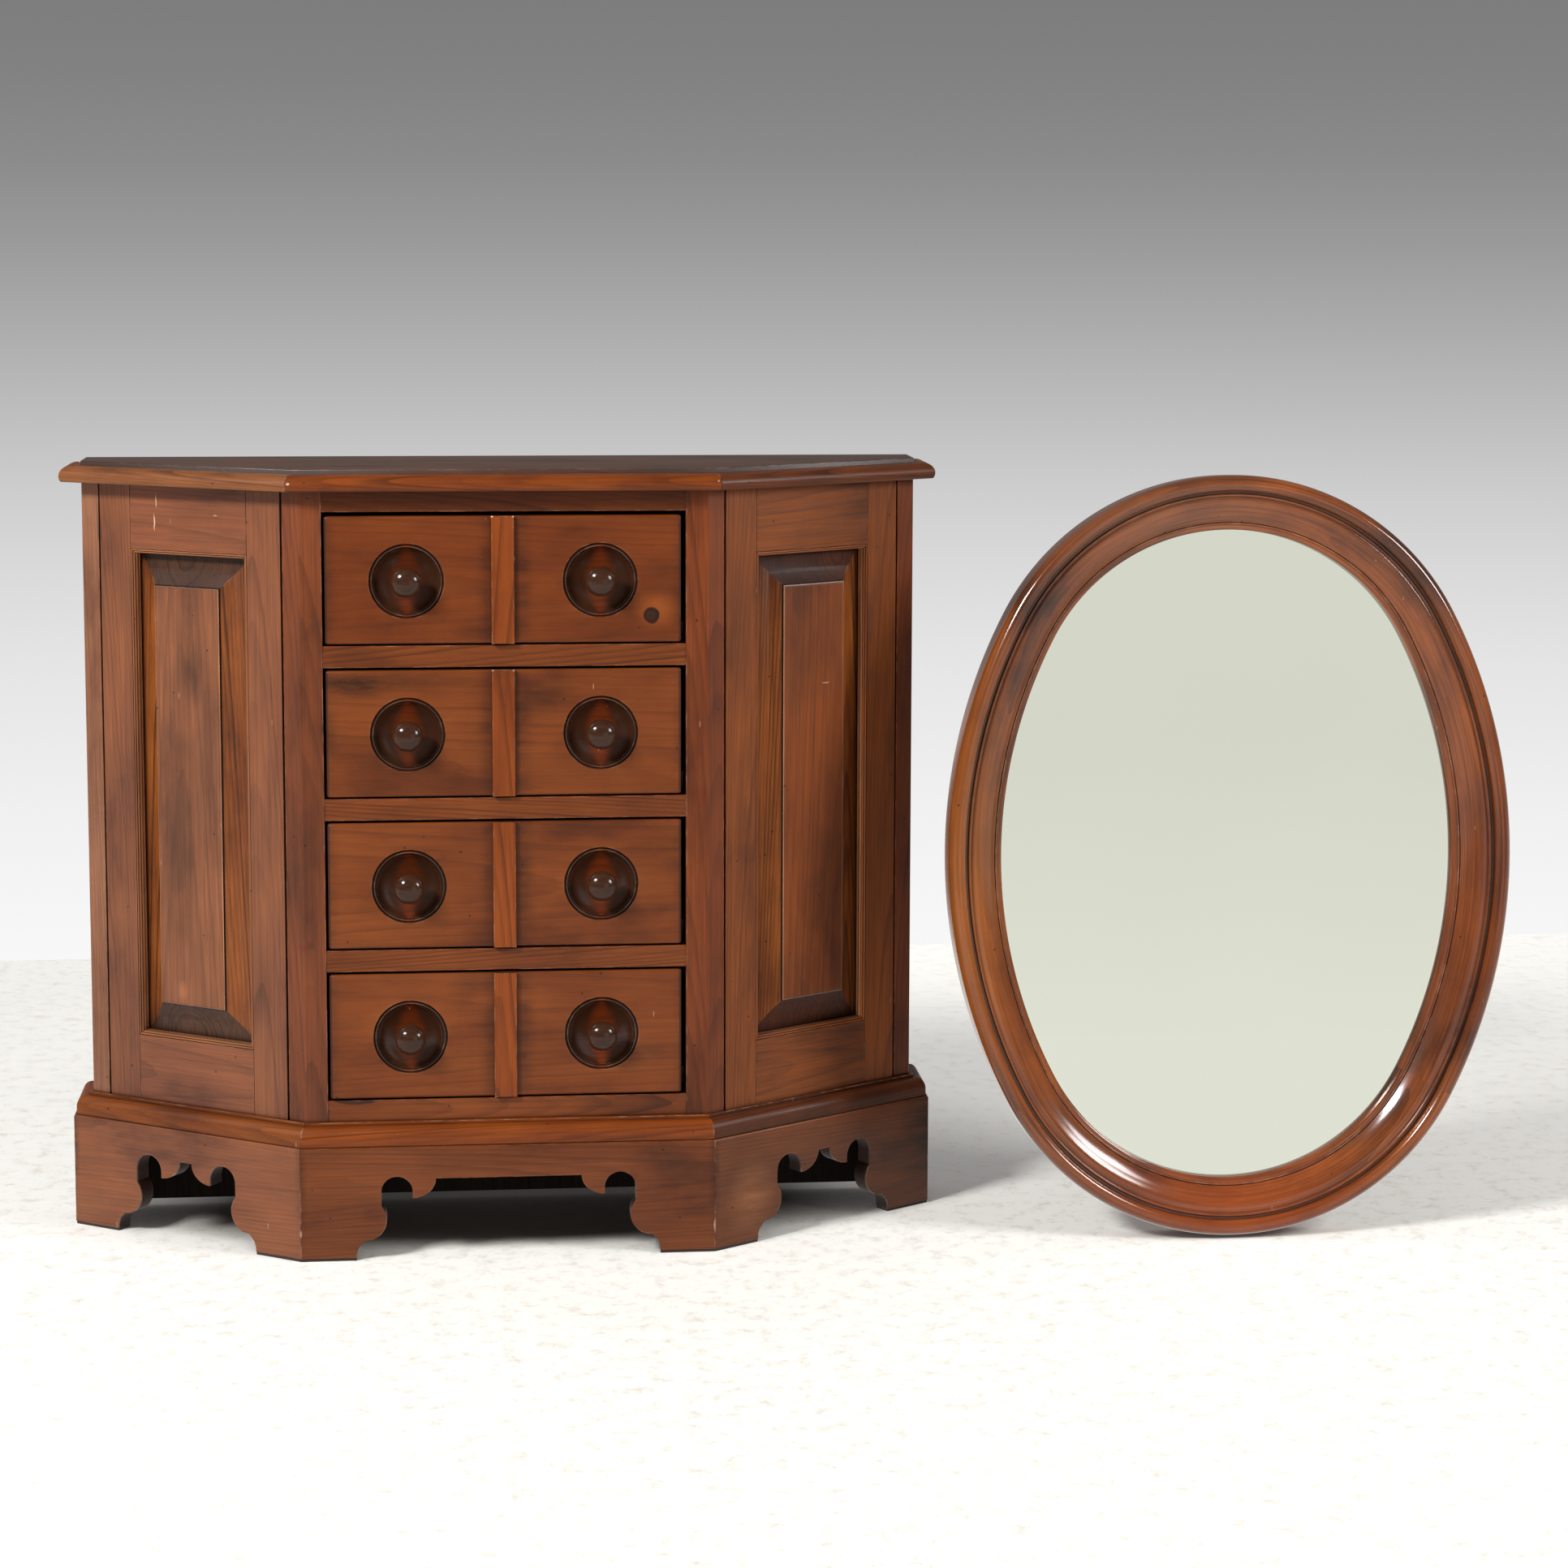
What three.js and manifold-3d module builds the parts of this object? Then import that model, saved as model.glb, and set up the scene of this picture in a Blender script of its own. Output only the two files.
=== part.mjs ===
import * as THREE from 'three';
import { mergeVertices } from 'three/addons/utils/BufferGeometryUtils.js';
import Module from 'manifold-3d';

// A low chest with a canted panel on each side of four wide drawers, and a loose oval mirror that
// stands on the floor beside it. Millimetres, +Z up; the drawers and the mirror face -Y.

const wasm = await Module();
wasm.setup();

// Plan of the carcase, taken on the faces of the posts.
const front_half_width = 209.5;
const carcase_half_width = 442.8;
const cant_depth = 152.2;
const carcase_depth = 208.9;

// Heights from the floor up.
const pad_height = 3;
const plinth_height = 117.1;
const base_moulding_height = 23.1;
const bottom_rail_show = 22.1;
const row_height = 136;
const drawer_rail_height = 22.8;
const top_row_extra = 1.7;
const top_rail_height = 21.9;
const top_thickness = 21.6;
const row_count = 4;

// Gaps between pieces, and how far a cutter runs past what it cuts.
const joint_gap = 0.3;
const cutter_overrun = 5;
const weld_distance = 0.001;

// Posts, front rails and back.
const post_face_width = 23;
const front_post_cant_width = 21;
const front_post_cant_thickness = 24;
const front_post_depth = 44;
const rear_post_cant_width = 22;
const rear_post_cant_thickness = 26;
const rear_post_width = 35;
const post_lift = 8;
const post_ease = 1;
const rail_depth = 46;
const rail_setback = 1;
const rail_ease = 0.8;
const carcase_lap = 40;
const back_thickness = 8;
const back_lift = 8.5;

// Framed panels on the cants.
const frame_thickness = 22;
const front_stile_width = 42.2;
const rear_stile_width = 45.2;
const side_top_rail_height = 73.4;
const side_bottom_rail_show = 74.3;
const sticking_width = 5;
const sticking_depth = 12;
const panel_bevel_width = 32.5;
const panel_field_depth = 1.5;
const panel_step_width = 0.8;
const panel_step_depth = 1.8;
const panel_tongue_thickness = 5.5;
const panel_bevel_steps = 4;

// Plinth and its scrolled cut-out; distances along a board are from its mitred corner.
const plinth_thickness = 20;
const plinth_arris = 2;
const foot_width = 57.3;
const foot_step_out = 64.5;
const foot_step_height = 16.4;
const lobe_radius = 22;
const lobe_out = 66.9;
const lobe_height = 40;
const keyhole_radius = 16.2;
const keyhole_out = 99.5;
const keyhole_height = 69.6;
const cusp_height = 62.5;
const scallop_out = 139.9;
const apron_height = 83;
const apron_flat = 15.8;
const pad_inset = 0.8;
const arc_steps = 8;

// Base moulding, seen from its top edge down.
const base_fillet_width = 4.6;
const base_fillet_drop = 3.4;
const base_ovolo_start = 7.8;
const base_ovolo_out = 17.4;
const base_ovolo_drop = 14.5;
const ovolo_steps = 6;

// Moulded edge of the top, outward from the edge of the flat field.
const field_front_offset = -1.8;
const field_cant_offset = 1.8;
const field_side_offset = 0.4;
const field_ease = 0.6;
const field_step_drop = 4.2;
const quirk_width = 1.5;
const quirk_drop = 5.5;
const hollow_width = 7.8;
const hollow_drop = 5;
const nose_arris_out = 9;
const nose_arris_drop = 4.7;
const nose_out = 21.8;
const nose_drop = 15.1;
const underside_out = 18.6;
const underside_steps = 3;

// Drawers.
const drawer_gap_left = 2.5;
const drawer_gap_right = 5;
const drawer_gap_below = 1.7;
const drawer_gap_above = 2.6;
const drawer_front_thickness = 18;
const drawer_front_round = 3;
const drawer_round_steps = 3;
const drawer_box_play = 1.7;
const drawer_back_gap = 15.9;
const drawer_box_height = 110;
const drawer_box_wall = 10;
const drawer_bottom_thickness = 6;
const drawer_running_gap = 0.5;
const strip_width = 23.5;
const strip_thickness = 4.5;
const strip_ease = 1.2;
const strip_shift = -0.8;

// Dust boards that carry the drawers, with a guide on each side.
const dust_board_thickness = 8;
const guide_width = 15;
const guide_height = 18;
const guide_inset = 2;

// Turned dishes and knobs.
const dish_spacing = 198.6;
const dish_drop = 1;
const dish_radius = 38.2;
const dish_ring_width = 4.6;
const dish_ring_drop = 2.2;
const dish_depth = 9;
const dish_seat_radius = 9;
const knob_radius = 15.75;
const knob_equator = 13;
const knob_dome = 12;
const knob_back = 9.5;
const knob_neck_radius = 7;
const knob_foot_radius = 8;
const knob_foot_height = 2;
const dish_segments = 28;
const knob_segments = 20;
const bowl_steps = 4;
const dome_steps = 5;

// Mirror: an oval of four arcs, its frame section and where it stands.
const mirror_half_width = 303;
const mirror_half_height = 405.3;
const mirror_end_narrowing = 33;
const mirror_x = 768;
const mirror_y = -27;
const mirror_tilt = 4;
const mirror_depth = 45;
const torus_width = 17;
const torus_crest = 9;
const torus_height = 14;
const torus_inner_drop = 8;
const mirror_quirk_drop = 11;
const mirror_quirk_width = 4;
const swell_end = 50;
const swell_end_drop = 23.5;
const swell_crown = 37;
const swell_crown_drop = 10.5;
const swell_start_drop = 10;
const lip_step_drop = 25.2;
const lip_out = 58.2;
const lip_drop = 27.5;
const glass_drop = 36;
const glass_thickness = 4;
const rabbet_out = 50.2;
const side_arc_steps = 12;
const end_arc_steps = 20;
const torus_steps = 4;
const swell_steps = 4;

// Sizes that follow from the ones above.
const cant_run = carcase_half_width - front_half_width;
const cant_length = Math.hypot(cant_run, cant_depth);
const cant_angle = Math.atan2(cant_depth, cant_run);
const opening_half_width = front_half_width - post_face_width;
const plinth_top = pad_height + plinth_height;
const moulding_top = plinth_top + base_moulding_height;
const carcase_bottom = moulding_top - carcase_lap;
const first_row = moulding_top + bottom_rail_show;
const row_pitch = row_height + drawer_rail_height;
const rows_top = first_row + row_count * row_pitch - drawer_rail_height + top_row_extra;
const carcase_top = rows_top + top_rail_height;
const back_face = carcase_depth - back_thickness;
const plinth_face = joint_gap + plinth_thickness;
const mirror_end_radius = mirror_half_width - mirror_end_narrowing;
const drawer_width = 2 * opening_half_width - drawer_gap_left - drawer_gap_right;
const drawer_height = row_height - drawer_gap_below - drawer_gap_above;
const drawer_shift = (drawer_gap_left - drawer_gap_right) / 2;
const drawer_box_length = back_face - drawer_front_thickness - drawer_back_gap;

// Orients a closed geometry outward, without seams or slivers of no width.
function closed(geometry) {
  const bare = geometry.clone();
  for (const name of ['normal', 'uv']) bare.deleteAttribute(name);
  const welded = mergeVertices(bare, weld_distance);
  const at = welded.attributes.position;
  const corner = [new THREE.Vector3(), new THREE.Vector3(), new THREE.Vector3()];
  const faces = [];
  let volume = 0;
  for (let i = 0; i < welded.index.count; i += 3) {
    const face = [0, 1, 2].map((k) => welded.index.getX(i + k));
    if (new Set(face).size < 3) continue;
    face.forEach((vertex, k) => corner[k].fromBufferAttribute(at, vertex));
    volume += corner[0].dot(corner[1].clone().cross(corner[2]));
    faces.push(face);
  }
  welded.setIndex(faces.flatMap(([a, b, c]) => (volume < 0 ? [a, c, b] : [a, b, c])));
  return welded;
}

function toSolid(geometry) {
  const source = closed(geometry);
  return new wasm.Manifold(new wasm.Mesh({
    numProp: 3,
    vertProperties: Float32Array.from(source.attributes.position.array),
    triVerts: Uint32Array.from(source.index.array),
  }));
}

function fromSolid(solid) {
  const result = solid.getMesh();
  const geometry = new THREE.BufferGeometry();
  geometry.setAttribute('position', new THREE.BufferAttribute(result.vertProperties, 3));
  geometry.setIndex(new THREE.BufferAttribute(result.triVerts, 1));
  return geometry;
}

function join(first, ...others) {
  return fromSolid(others.reduce((sum, other) => sum.add(toSolid(other)), toSolid(first)));
}

function cut(body, ...cutters) {
  return fromSolid(cutters.reduce((rest, cutter) => rest.subtract(toSolid(cutter)), toSolid(body)));
}

// Triangles of a flat outline, all turned the way the outline turns.
function capFaces(outline) {
  const turn = Math.sign(THREE.ShapeUtils.area(outline));
  return THREE.ShapeUtils.triangulateShape(outline, []).map(([a, b, c]) => {
    const area = THREE.ShapeUtils.area([outline[a], outline[b], outline[c]]);
    return Math.sign(area) === turn ? [a, b, c] : [a, c, b];
  });
}

// Skin through rings of matching points. Capped with the flat outline, or run round to its start.
function loft(rings, outline) {
  const size = rings[0].length;
  const geometry = new THREE.BufferGeometry().setFromPoints(rings.flat());
  const faces = [];
  const joins = outline ? rings.length - 1 : rings.length;
  for (let k = 0; k < joins; k += 1) {
    const here = k * size;
    const there = ((k + 1) % rings.length) * size;
    for (let i = 0; i < size; i += 1) {
      const j = (i + 1) % size;
      faces.push([here + i, here + j, there + j], [here + i, there + j, there + i]);
    }
  }
  if (outline) {
    const last = (rings.length - 1) * size;
    for (const [a, b, c] of capFaces(outline)) {
      faces.push([a, c, b], [last + a, last + b, last + c]);
    }
  }
  geometry.setIndex(faces.flat());
  return geometry;
}

// Points of a quarter ellipse after its first point; it leaves along x, or else along y.
function quarter(from, to, steps, along_x) {
  return Array.from({ length: steps }, (_, i) => {
    const angle = ((i + 1) / steps) * (Math.PI / 2);
    const early_share = Math.sin(angle);
    const late_share = 1 - Math.cos(angle);
    const x_share = along_x ? early_share : late_share;
    const y_share = along_x ? late_share : early_share;
    return new THREE.Vector2(from.x + (to.x - from.x) * x_share, from.y + (to.y - from.y) * y_share);
  });
}

// Points of a circular arc, both ends included.
function arc(x, y, radius, start, end, steps) {
  return Array.from({ length: steps + 1 }, (_, i) => {
    const angle = start + ((end - start) * i) / steps;
    return new THREE.Vector2(x + radius * Math.cos(angle), y + radius * Math.sin(angle));
  });
}

const vec = (x, y) => new THREE.Vector2(x, y);

function rectangle(x0, y0, x1, y1) {
  return [vec(x0, y0), vec(x1, y0), vec(x1, y1), vec(x0, y1)];
}

// Outline whose corners are all eased by the same small amount.
function easedShape(points, ease) {
  const shape = new THREE.Shape();
  points.forEach((corner, i) => {
    const before = points[(i + points.length - 1) % points.length];
    const after = points[(i + 1) % points.length];
    const enter = before.clone().sub(corner).setLength(ease).add(corner);
    const leave = after.clone().sub(corner).setLength(ease).add(corner);
    if (i === 0) shape.moveTo(enter.x, enter.y);
    else shape.lineTo(enter.x, enter.y);
    shape.quadraticCurveTo(corner.x, corner.y, leave.x, leave.y);
  });
  return shape;
}

function extrude(shape, depth) {
  return new THREE.ExtrudeGeometry(shape, { depth, bevelEnabled: false, curveSegments: 2 });
}

// Section drawn in y and z, run along x and centred on it.
const section_along_x = new THREE.Matrix4().makeBasis(
  new THREE.Vector3(0, 1, 0), new THREE.Vector3(0, 0, 1), new THREE.Vector3(1, 0, 0));

function lengthwise(shape, length) {
  return extrude(shape, length).translate(0, 0, -length / 2).applyMatrix4(section_along_x);
}

// Outline drawn in x and z, cut through along y from front to back.
const outline_along_y = new THREE.Matrix4().makeBasis(
  new THREE.Vector3(1, 0, 0), new THREE.Vector3(0, 0, 1), new THREE.Vector3(0, -1, 0));

function throughBoard(points, front, back) {
  return extrude(new THREE.Shape(points), back - front).applyMatrix4(outline_along_y).translate(0, back, 0);
}

// A point at a distance along the cant and outward from its face, on the right-hand side.
function onCant(along, out) {
  const x = front_half_width + along * Math.cos(cant_angle) + out * Math.sin(cant_angle);
  return vec(x, along * Math.sin(cant_angle) - out * Math.cos(cant_angle));
}

// Corners of the plan when its front, cant and side faces stand out by these amounts.
function frontCorner(front, cant) {
  return vec(front_half_width + (cant - front * Math.cos(cant_angle)) / Math.sin(cant_angle), -front);
}

function sideCorner(cant, side) {
  const rise = (cant_run + side) * Math.sin(cant_angle) - cant;
  return vec(carcase_half_width + side, rise / Math.cos(cant_angle));
}

const mirrored = (point, side) => vec(side * point.x, point.y);

// A profile of outward distance and height, run through stations that give its place in plan.
function runAlong(profile, stations) {
  const rings = stations.map((place) => profile.map((point) => {
    const foot = place(point.x);
    return new THREE.Vector3(foot.x, foot.y, point.y);
  }));
  return loft(rings, profile);
}

// Stations of the moulding and plinth. The cant lengths stop short of the mitre by the joint gap.
const at_front = (side) => (out) => mirrored(frontCorner(out, out), side);
const at_cant_start = (side) => (out) => {
  const step = onCant(joint_gap, 0).sub(onCant(0, 0));
  return mirrored(frontCorner(out, out).add(step), side);
};
const at_cant_end = (side) => (out) => {
  const step = onCant(joint_gap, 0).sub(onCant(0, 0));
  return mirrored(sideCorner(out, out).sub(step), side);
};
const at_side = (side) => (out) => mirrored(sideCorner(out, out), side);
const at_back = (side) => (out) => vec(side * (carcase_half_width + out), carcase_depth);

function material(color, roughness) {
  return new THREE.MeshStandardMaterial({ color, roughness, metalness: 0 });
}

const stained_pine = () => material('#7e4022', 0.42);
const cant_pine = () => material('#8a5038', 0.45);
const dark_pine = () => material('#5f4438', 0.5);
const moulding_pine = () => material('#864722', 0.4);
const turned_knob = () => material('#33231c', 0.22);
const raw_pine = () => material('#b08a5c', 0.75);
const mirror_wood = () => material('#7a4424', 0.38);
const mirror_glass = () => material('#d4d9d2', 0.04);
const pad_felt = () => material('#241a15', 0.85);

function mesh(name, geometry, finish) {
  const flat = closed(geometry).toNonIndexed();
  flat.computeVertexNormals();
  const result = new THREE.Mesh(flat, finish);
  result.name = name;
  return result;
}

// Top board: its plan at each level of the moulded edge.
function topEdge() {
  const nose_arris = vec(nose_arris_out, nose_arris_drop);
  const nose = vec(nose_out, nose_drop);
  return [
    vec(-field_ease, 0),
    vec(0, field_ease),
    vec(0, field_step_drop),
    vec(quirk_width, quirk_drop),
    vec(hollow_width, hollow_drop),
    nose_arris,
    ...quarter(nose_arris, nose, ovolo_steps, true),
    ...quarter(nose, vec(underside_out, top_thickness), underside_steps, false),
  ];
}

function makeTop() {
  const rings = topEdge().map(({ x: out, y: drop }) => {
    const front = frontCorner(field_front_offset + out, field_cant_offset + out);
    const side = sideCorner(field_cant_offset + out, field_side_offset + out);
    const back = vec(side.x, carcase_depth);
    const right = [front, side, back];
    const plan = [...right, ...right.toReversed().map((point) => mirrored(point, -1))];
    return plan.map((point) => new THREE.Vector3(point.x, point.y, carcase_top + top_thickness - drop));
  });
  const outline = rings[0].map((point) => vec(point.x, point.y));
  return mesh('top', loft(rings, outline), dark_pine());
}

// Posts: front posts turn the corner on to the cant, rear posts carry the cant round to the back.
function makePost(name, plan, side) {
  const points = plan.map((point) => mirrored(point, side));
  const height = carcase_top - post_lift;
  return mesh(name, extrude(easedShape(points, post_ease), height).translate(0, 0, post_lift), stained_pine());
}

function frontPostPlan() {
  const inner = onCant(front_post_cant_width, -front_post_cant_thickness);
  return [
    vec(opening_half_width, 0),
    vec(front_half_width, 0),
    onCant(front_post_cant_width, 0),
    inner,
    vec(inner.x, front_post_depth),
    vec(opening_half_width, front_post_depth),
  ];
}

function rearPostPlan() {
  const start = cant_length - rear_post_cant_width;
  return [
    onCant(start, 0),
    vec(carcase_half_width, cant_depth),
    vec(carcase_half_width, back_face),
    vec(carcase_half_width - rear_post_width, back_face),
    onCant(start, -rear_post_cant_thickness),
  ];
}

// Front rails, from post to post.
function makeRail(name, bottom, top) {
  const section = rectangle(rail_setback, bottom, rail_setback + rail_depth, top);
  return mesh(name, lengthwise(easedShape(section, rail_ease), 2 * opening_half_width), stained_pine());
}

function makeFrontRails() {
  const rails = [makeRail('bottom_rail', carcase_bottom, first_row)];
  for (let row = 1; row < row_count; row += 1) {
    const top = first_row + row * row_pitch;
    rails.push(makeRail(`drawer_rail_${row_count - row}`, top - drawer_rail_height, top));
  }
  rails.push(makeRail('top_rail', rows_top, carcase_top));
  return rails;
}

// Dust board under a row: it follows the plan inside the cants and carries two guides.
function makeDustBoard(row) {
  const top = first_row + (row_count - row) * row_pitch;
  const bottom = top - dust_board_thickness;
  const start = rail_setback + rail_depth;
  const inside = -frame_thickness - joint_gap;
  const along = (y) => (y + inside * Math.cos(cant_angle)) / Math.sin(cant_angle);
  const front = onCant(along(start), inside);
  const post_corner = onCant(cant_length - rear_post_cant_width, -rear_post_cant_thickness);
  const side_x = carcase_half_width - rear_post_width - joint_gap;
  const turn_y = cant_depth;
  const turn = onCant(along(turn_y), inside);
  const limit = Math.min(turn.x, side_x, post_corner.x - joint_gap);
  const right = [front, vec(limit, turn_y), vec(limit, back_face)];
  const plan = [...right, ...right.toReversed().map((point) => mirrored(point, -1))];
  const board = extrude(new THREE.Shape(plan), dust_board_thickness).translate(0, 0, bottom);
  const guides = [-1, 1].map((side) => {
    const inner = side * (opening_half_width - guide_inset);
    const section = new THREE.Shape(rectangle(inner, start, inner + side * guide_width, back_face));
    return extrude(section, dust_board_thickness + guide_height).translate(0, 0, bottom);
  });
  return mesh(`dust_board_${row}`, join(board, ...guides), raw_pine());
}

function makeBackPanel() {
  const plan = new THREE.Shape(rectangle(-carcase_half_width, back_face, carcase_half_width, carcase_depth));
  return mesh('back_panel', extrude(plan, carcase_top - back_lift).translate(0, 0, back_lift), raw_pine());
}

// Sticking: two small beads round the opening of a frame, as shares of its width and depth.
const sticking_shares = [
  [1, 0], [0.92, 0.11], [0.8, 0.05], [0.66, 0.06], [0.56, 0.15], [0.42, 0.09], [0.28, 0.1],
  [0.16, 0.2], [0, 0.22], [0, 1], [1, 1],
];

// One length of sticking for an opening side of this length, mitred at both ends, run along x.
// Its sight edge lies on z = 0 and it is rooted in the member above it.
function stickingLength(length, shortfall) {
  const outline = sticking_shares.map(([out_share, deep_share]) => (
    vec(out_share * sticking_width, deep_share * sticking_depth)));
  const root = sticking_width + joint_gap;
  outline.splice(0, 1, vec(root, 0), vec(sticking_width, 0));
  outline.splice(-1, 1, vec(root, sticking_depth));
  const rings = [-1, 1].map((end) => outline.map(({ x: out, y: deep }) => {
    const reach = length / 2 + Math.min(out, sticking_width) - shortfall;
    return new THREE.Vector3(end * reach, deep, out);
  }));
  return loft(rings, outline);
}

// Framed panel of one cant, in a group whose x runs along the cant and whose y runs inward.
function makeSideFrame(side, word) {
  const group = new THREE.Group();
  group.position.set(side * front_half_width, 0, 0);
  group.rotation.z = side * cant_angle;
  const start = front_post_cant_width + joint_gap;
  const end = cant_length - rear_post_cant_width - joint_gap;
  const sight_start = start + front_stile_width;
  const sight_end = end - rear_stile_width;
  const sight_bottom = moulding_top + side_bottom_rail_show;
  const sight_top = carcase_top - side_top_rail_height;
  const sight_width = sight_end - sight_start;
  const sight_height = sight_top - sight_bottom;
  const middle_x = (side * (sight_start + sight_end)) / 2;
  const middle_z = (sight_bottom + sight_top) / 2;
  const height = carcase_top - carcase_bottom;

  const stile = (name, from, to, sight, outward) => {
    const section = rectangle(side * from, 0, side * to, frame_thickness);
    const board = extrude(easedShape(section, post_ease), height).translate(0, 0, carcase_bottom);
    const beads = stickingLength(sight_height, 0).rotateY((-outward * Math.PI) / 2);
    return mesh(name, join(board, beads.translate(side * sight, 0, middle_z)), cant_pine());
  };
  group.add(stile(`${word}_front_stile`, start, sight_start - sticking_width, sight_start, side));
  group.add(stile(`${word}_rear_stile`, sight_end + sticking_width, end, sight_end, -side));

  const rail = (name, bottom, top, sight, flip) => {
    const section = rectangle(0, bottom, frame_thickness, top);
    const length = sight_width + 2 * (sticking_width - joint_gap);
    const board = lengthwise(easedShape(section, rail_ease), length).translate(middle_x, 0, 0);
    const beads = stickingLength(sight_width, joint_gap).rotateY(flip);
    return mesh(name, join(board, beads.translate(middle_x, 0, sight)), cant_pine());
  };
  group.add(rail(`${word}_frame_top_rail`, sight_top + sticking_width, carcase_top, sight_top, 0));
  group.add(rail(`${word}_frame_bottom_rail`, carcase_bottom, sight_bottom - sticking_width, sight_bottom, Math.PI));

  group.add(makePanel(word, sight_width, sight_height, middle_x, middle_z));
  return group;
}

// Raised and fielded panel, held behind the sticking by a tongue all round.
function makePanel(word, sight_width, sight_height, x, z) {
  const tongue_face = sticking_depth + joint_gap;
  const field = vec(panel_bevel_width, panel_field_depth);
  const step = vec(panel_bevel_width - panel_step_width, panel_field_depth + panel_step_depth);
  const levels = [
    field,
    step,
    ...quarter(step, vec(joint_gap, tongue_face), panel_bevel_steps, false),
    vec(joint_gap - sticking_width, tongue_face),
    vec(joint_gap - sticking_width, tongue_face + panel_tongue_thickness),
  ];
  const rings = levels.map(({ x: inset, y: deep }) => {
    const half_width = sight_width / 2 - inset;
    const half_height = sight_height / 2 - inset;
    const plan = rectangle(-half_width, -half_height, half_width, half_height);
    return plan.map((point) => new THREE.Vector3(point.x, deep, point.y));
  });
  const outline = rings[0].map((point) => vec(point.x, point.z));
  return mesh(`${word}_panel`, loft(rings, outline).translate(x, 0, z), dark_pine());
}

// Half of the scrolled cut-out, from the foot to the middle of a board; heights above the plinth's foot.
function scrollHalf() {
  const neck_x = keyhole_out - keyhole_radius;
  const lobe_end = Math.acos((neck_x - lobe_out) / lobe_radius);
  const cusp = vec(keyhole_out + keyhole_radius, cusp_height);
  return [
    vec(foot_width, -cutter_overrun),
    vec(foot_width, 0),
    vec(foot_step_out, foot_step_height),
    ...arc(lobe_out, lobe_height, lobe_radius, -Math.PI / 2, lobe_end, arc_steps),
    ...arc(keyhole_out, keyhole_height, keyhole_radius, Math.PI, 0, arc_steps),
    cusp,
    ...quarter(cusp, vec(scallop_out, apron_height), arc_steps / 2, true),
  ];
}

// The scroll is as wide as the shortest board leaves room for beside the flat of its apron.
function scrollStretch() {
  const corner = frontCorner(plinth_face, plinth_face);
  const far_corner = sideCorner(plinth_face, plinth_face);
  const shortest = Math.min(2 * corner.x, corner.distanceTo(far_corner));
  return (shortest - apron_flat) / (2 * scallop_out);
}

function scrollOutline(length) {
  const stretch_share = scrollStretch();
  const half = scrollHalf().map((point) => vec(point.x * stretch_share, point.y));
  const other = half.map((point) => vec(length - point.x, point.y)).reverse();
  return [...half, ...other].map((point) => vec(point.x - length / 2, point.y + pad_height));
}

function plinthProfile() {
  const arris = vec(plinth_face, plinth_top - plinth_arris);
  return [
    vec(joint_gap, pad_height),
    vec(plinth_face, pad_height),
    arris,
    ...quarter(arris, vec(plinth_face - plinth_arris, plinth_top), 2, false),
    vec(joint_gap, plinth_top),
  ];
}

function makePlinth() {
  const profile = plinthProfile();
  const front_length = 2 * frontCorner(plinth_face, plinth_face).x;
  const front_cutter = throughBoard(
    scrollOutline(front_length), -plinth_face - cutter_overrun, cutter_overrun);
  const front = cut(runAlong(profile, [at_front(-1), at_front(1)]), front_cutter);
  const pieces = [mesh('plinth_front', front, stained_pine())];
  const corner = frontCorner(plinth_face, plinth_face);
  const far_corner = sideCorner(plinth_face, plinth_face);
  const outer_length = corner.distanceTo(far_corner);
  const middle = corner.clone().add(far_corner).divideScalar(2);
  for (const [side, word] of [[-1, 'left'], [1, 'right']]) {
    const board = runAlong(profile, [at_cant_start(side), at_cant_end(side)]);
    const cutter = throughBoard(
      scrollOutline(outer_length), -cutter_overrun, plinth_thickness + cutter_overrun);
    cutter.rotateZ(side * cant_angle).translate(side * middle.x, middle.y, 0);
    pieces.push(mesh(`plinth_${word}`, cut(board, cutter), cant_pine()));
    const stub = runAlong(profile, [at_side(side), at_back(side)]);
    pieces.push(mesh(`plinth_return_${word}`, stub, cant_pine()));
  }
  return pieces;
}

// Thin pads under the four corners of the plinth, each turning its corner with the boards.
function makePads() {
  const profile = rectangle(joint_gap + pad_inset, 0, plinth_face - pad_inset, pad_height);
  const foot = foot_width * scrollStretch();
  const front_end = frontCorner(plinth_face, plinth_face).x - foot;
  const overlap = plinth_face * Math.tan(cant_angle / 2);
  const far_overlap = plinth_face * Math.tan(Math.PI / 4 - cant_angle / 2);
  const cant_foot = foot - overlap;
  const far_foot = cant_length + far_overlap - foot;
  const pads = [];
  for (const [side, word] of [[-1, 'left'], [1, 'right']]) {
    const front = runAlong(profile, [
      (out) => vec(side * front_end, -out),
      at_front(side),
      (out) => mirrored(onCant(cant_foot, out), side),
    ]);
    const rear = runAlong(profile, [
      (out) => mirrored(onCant(far_foot, out), side),
      at_side(side),
      at_back(side),
    ]);
    pads.push(mesh(`pad_front_${word}`, front, pad_felt()), mesh(`pad_rear_${word}`, rear, pad_felt()));
  }
  return pads;
}

// Base moulding: fillet, ovolo and a plain lower edge, standing on the plinth.
function baseProfile() {
  const start = vec(base_ovolo_start, moulding_top - base_fillet_drop);
  return [
    vec(joint_gap, plinth_top),
    vec(joint_gap, moulding_top),
    vec(base_fillet_width, moulding_top),
    vec(base_fillet_width, moulding_top - base_fillet_drop),
    start,
    ...quarter(start, vec(base_ovolo_out, moulding_top - base_ovolo_drop), ovolo_steps, true),
    vec(base_ovolo_out, plinth_top),
  ];
}

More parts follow.
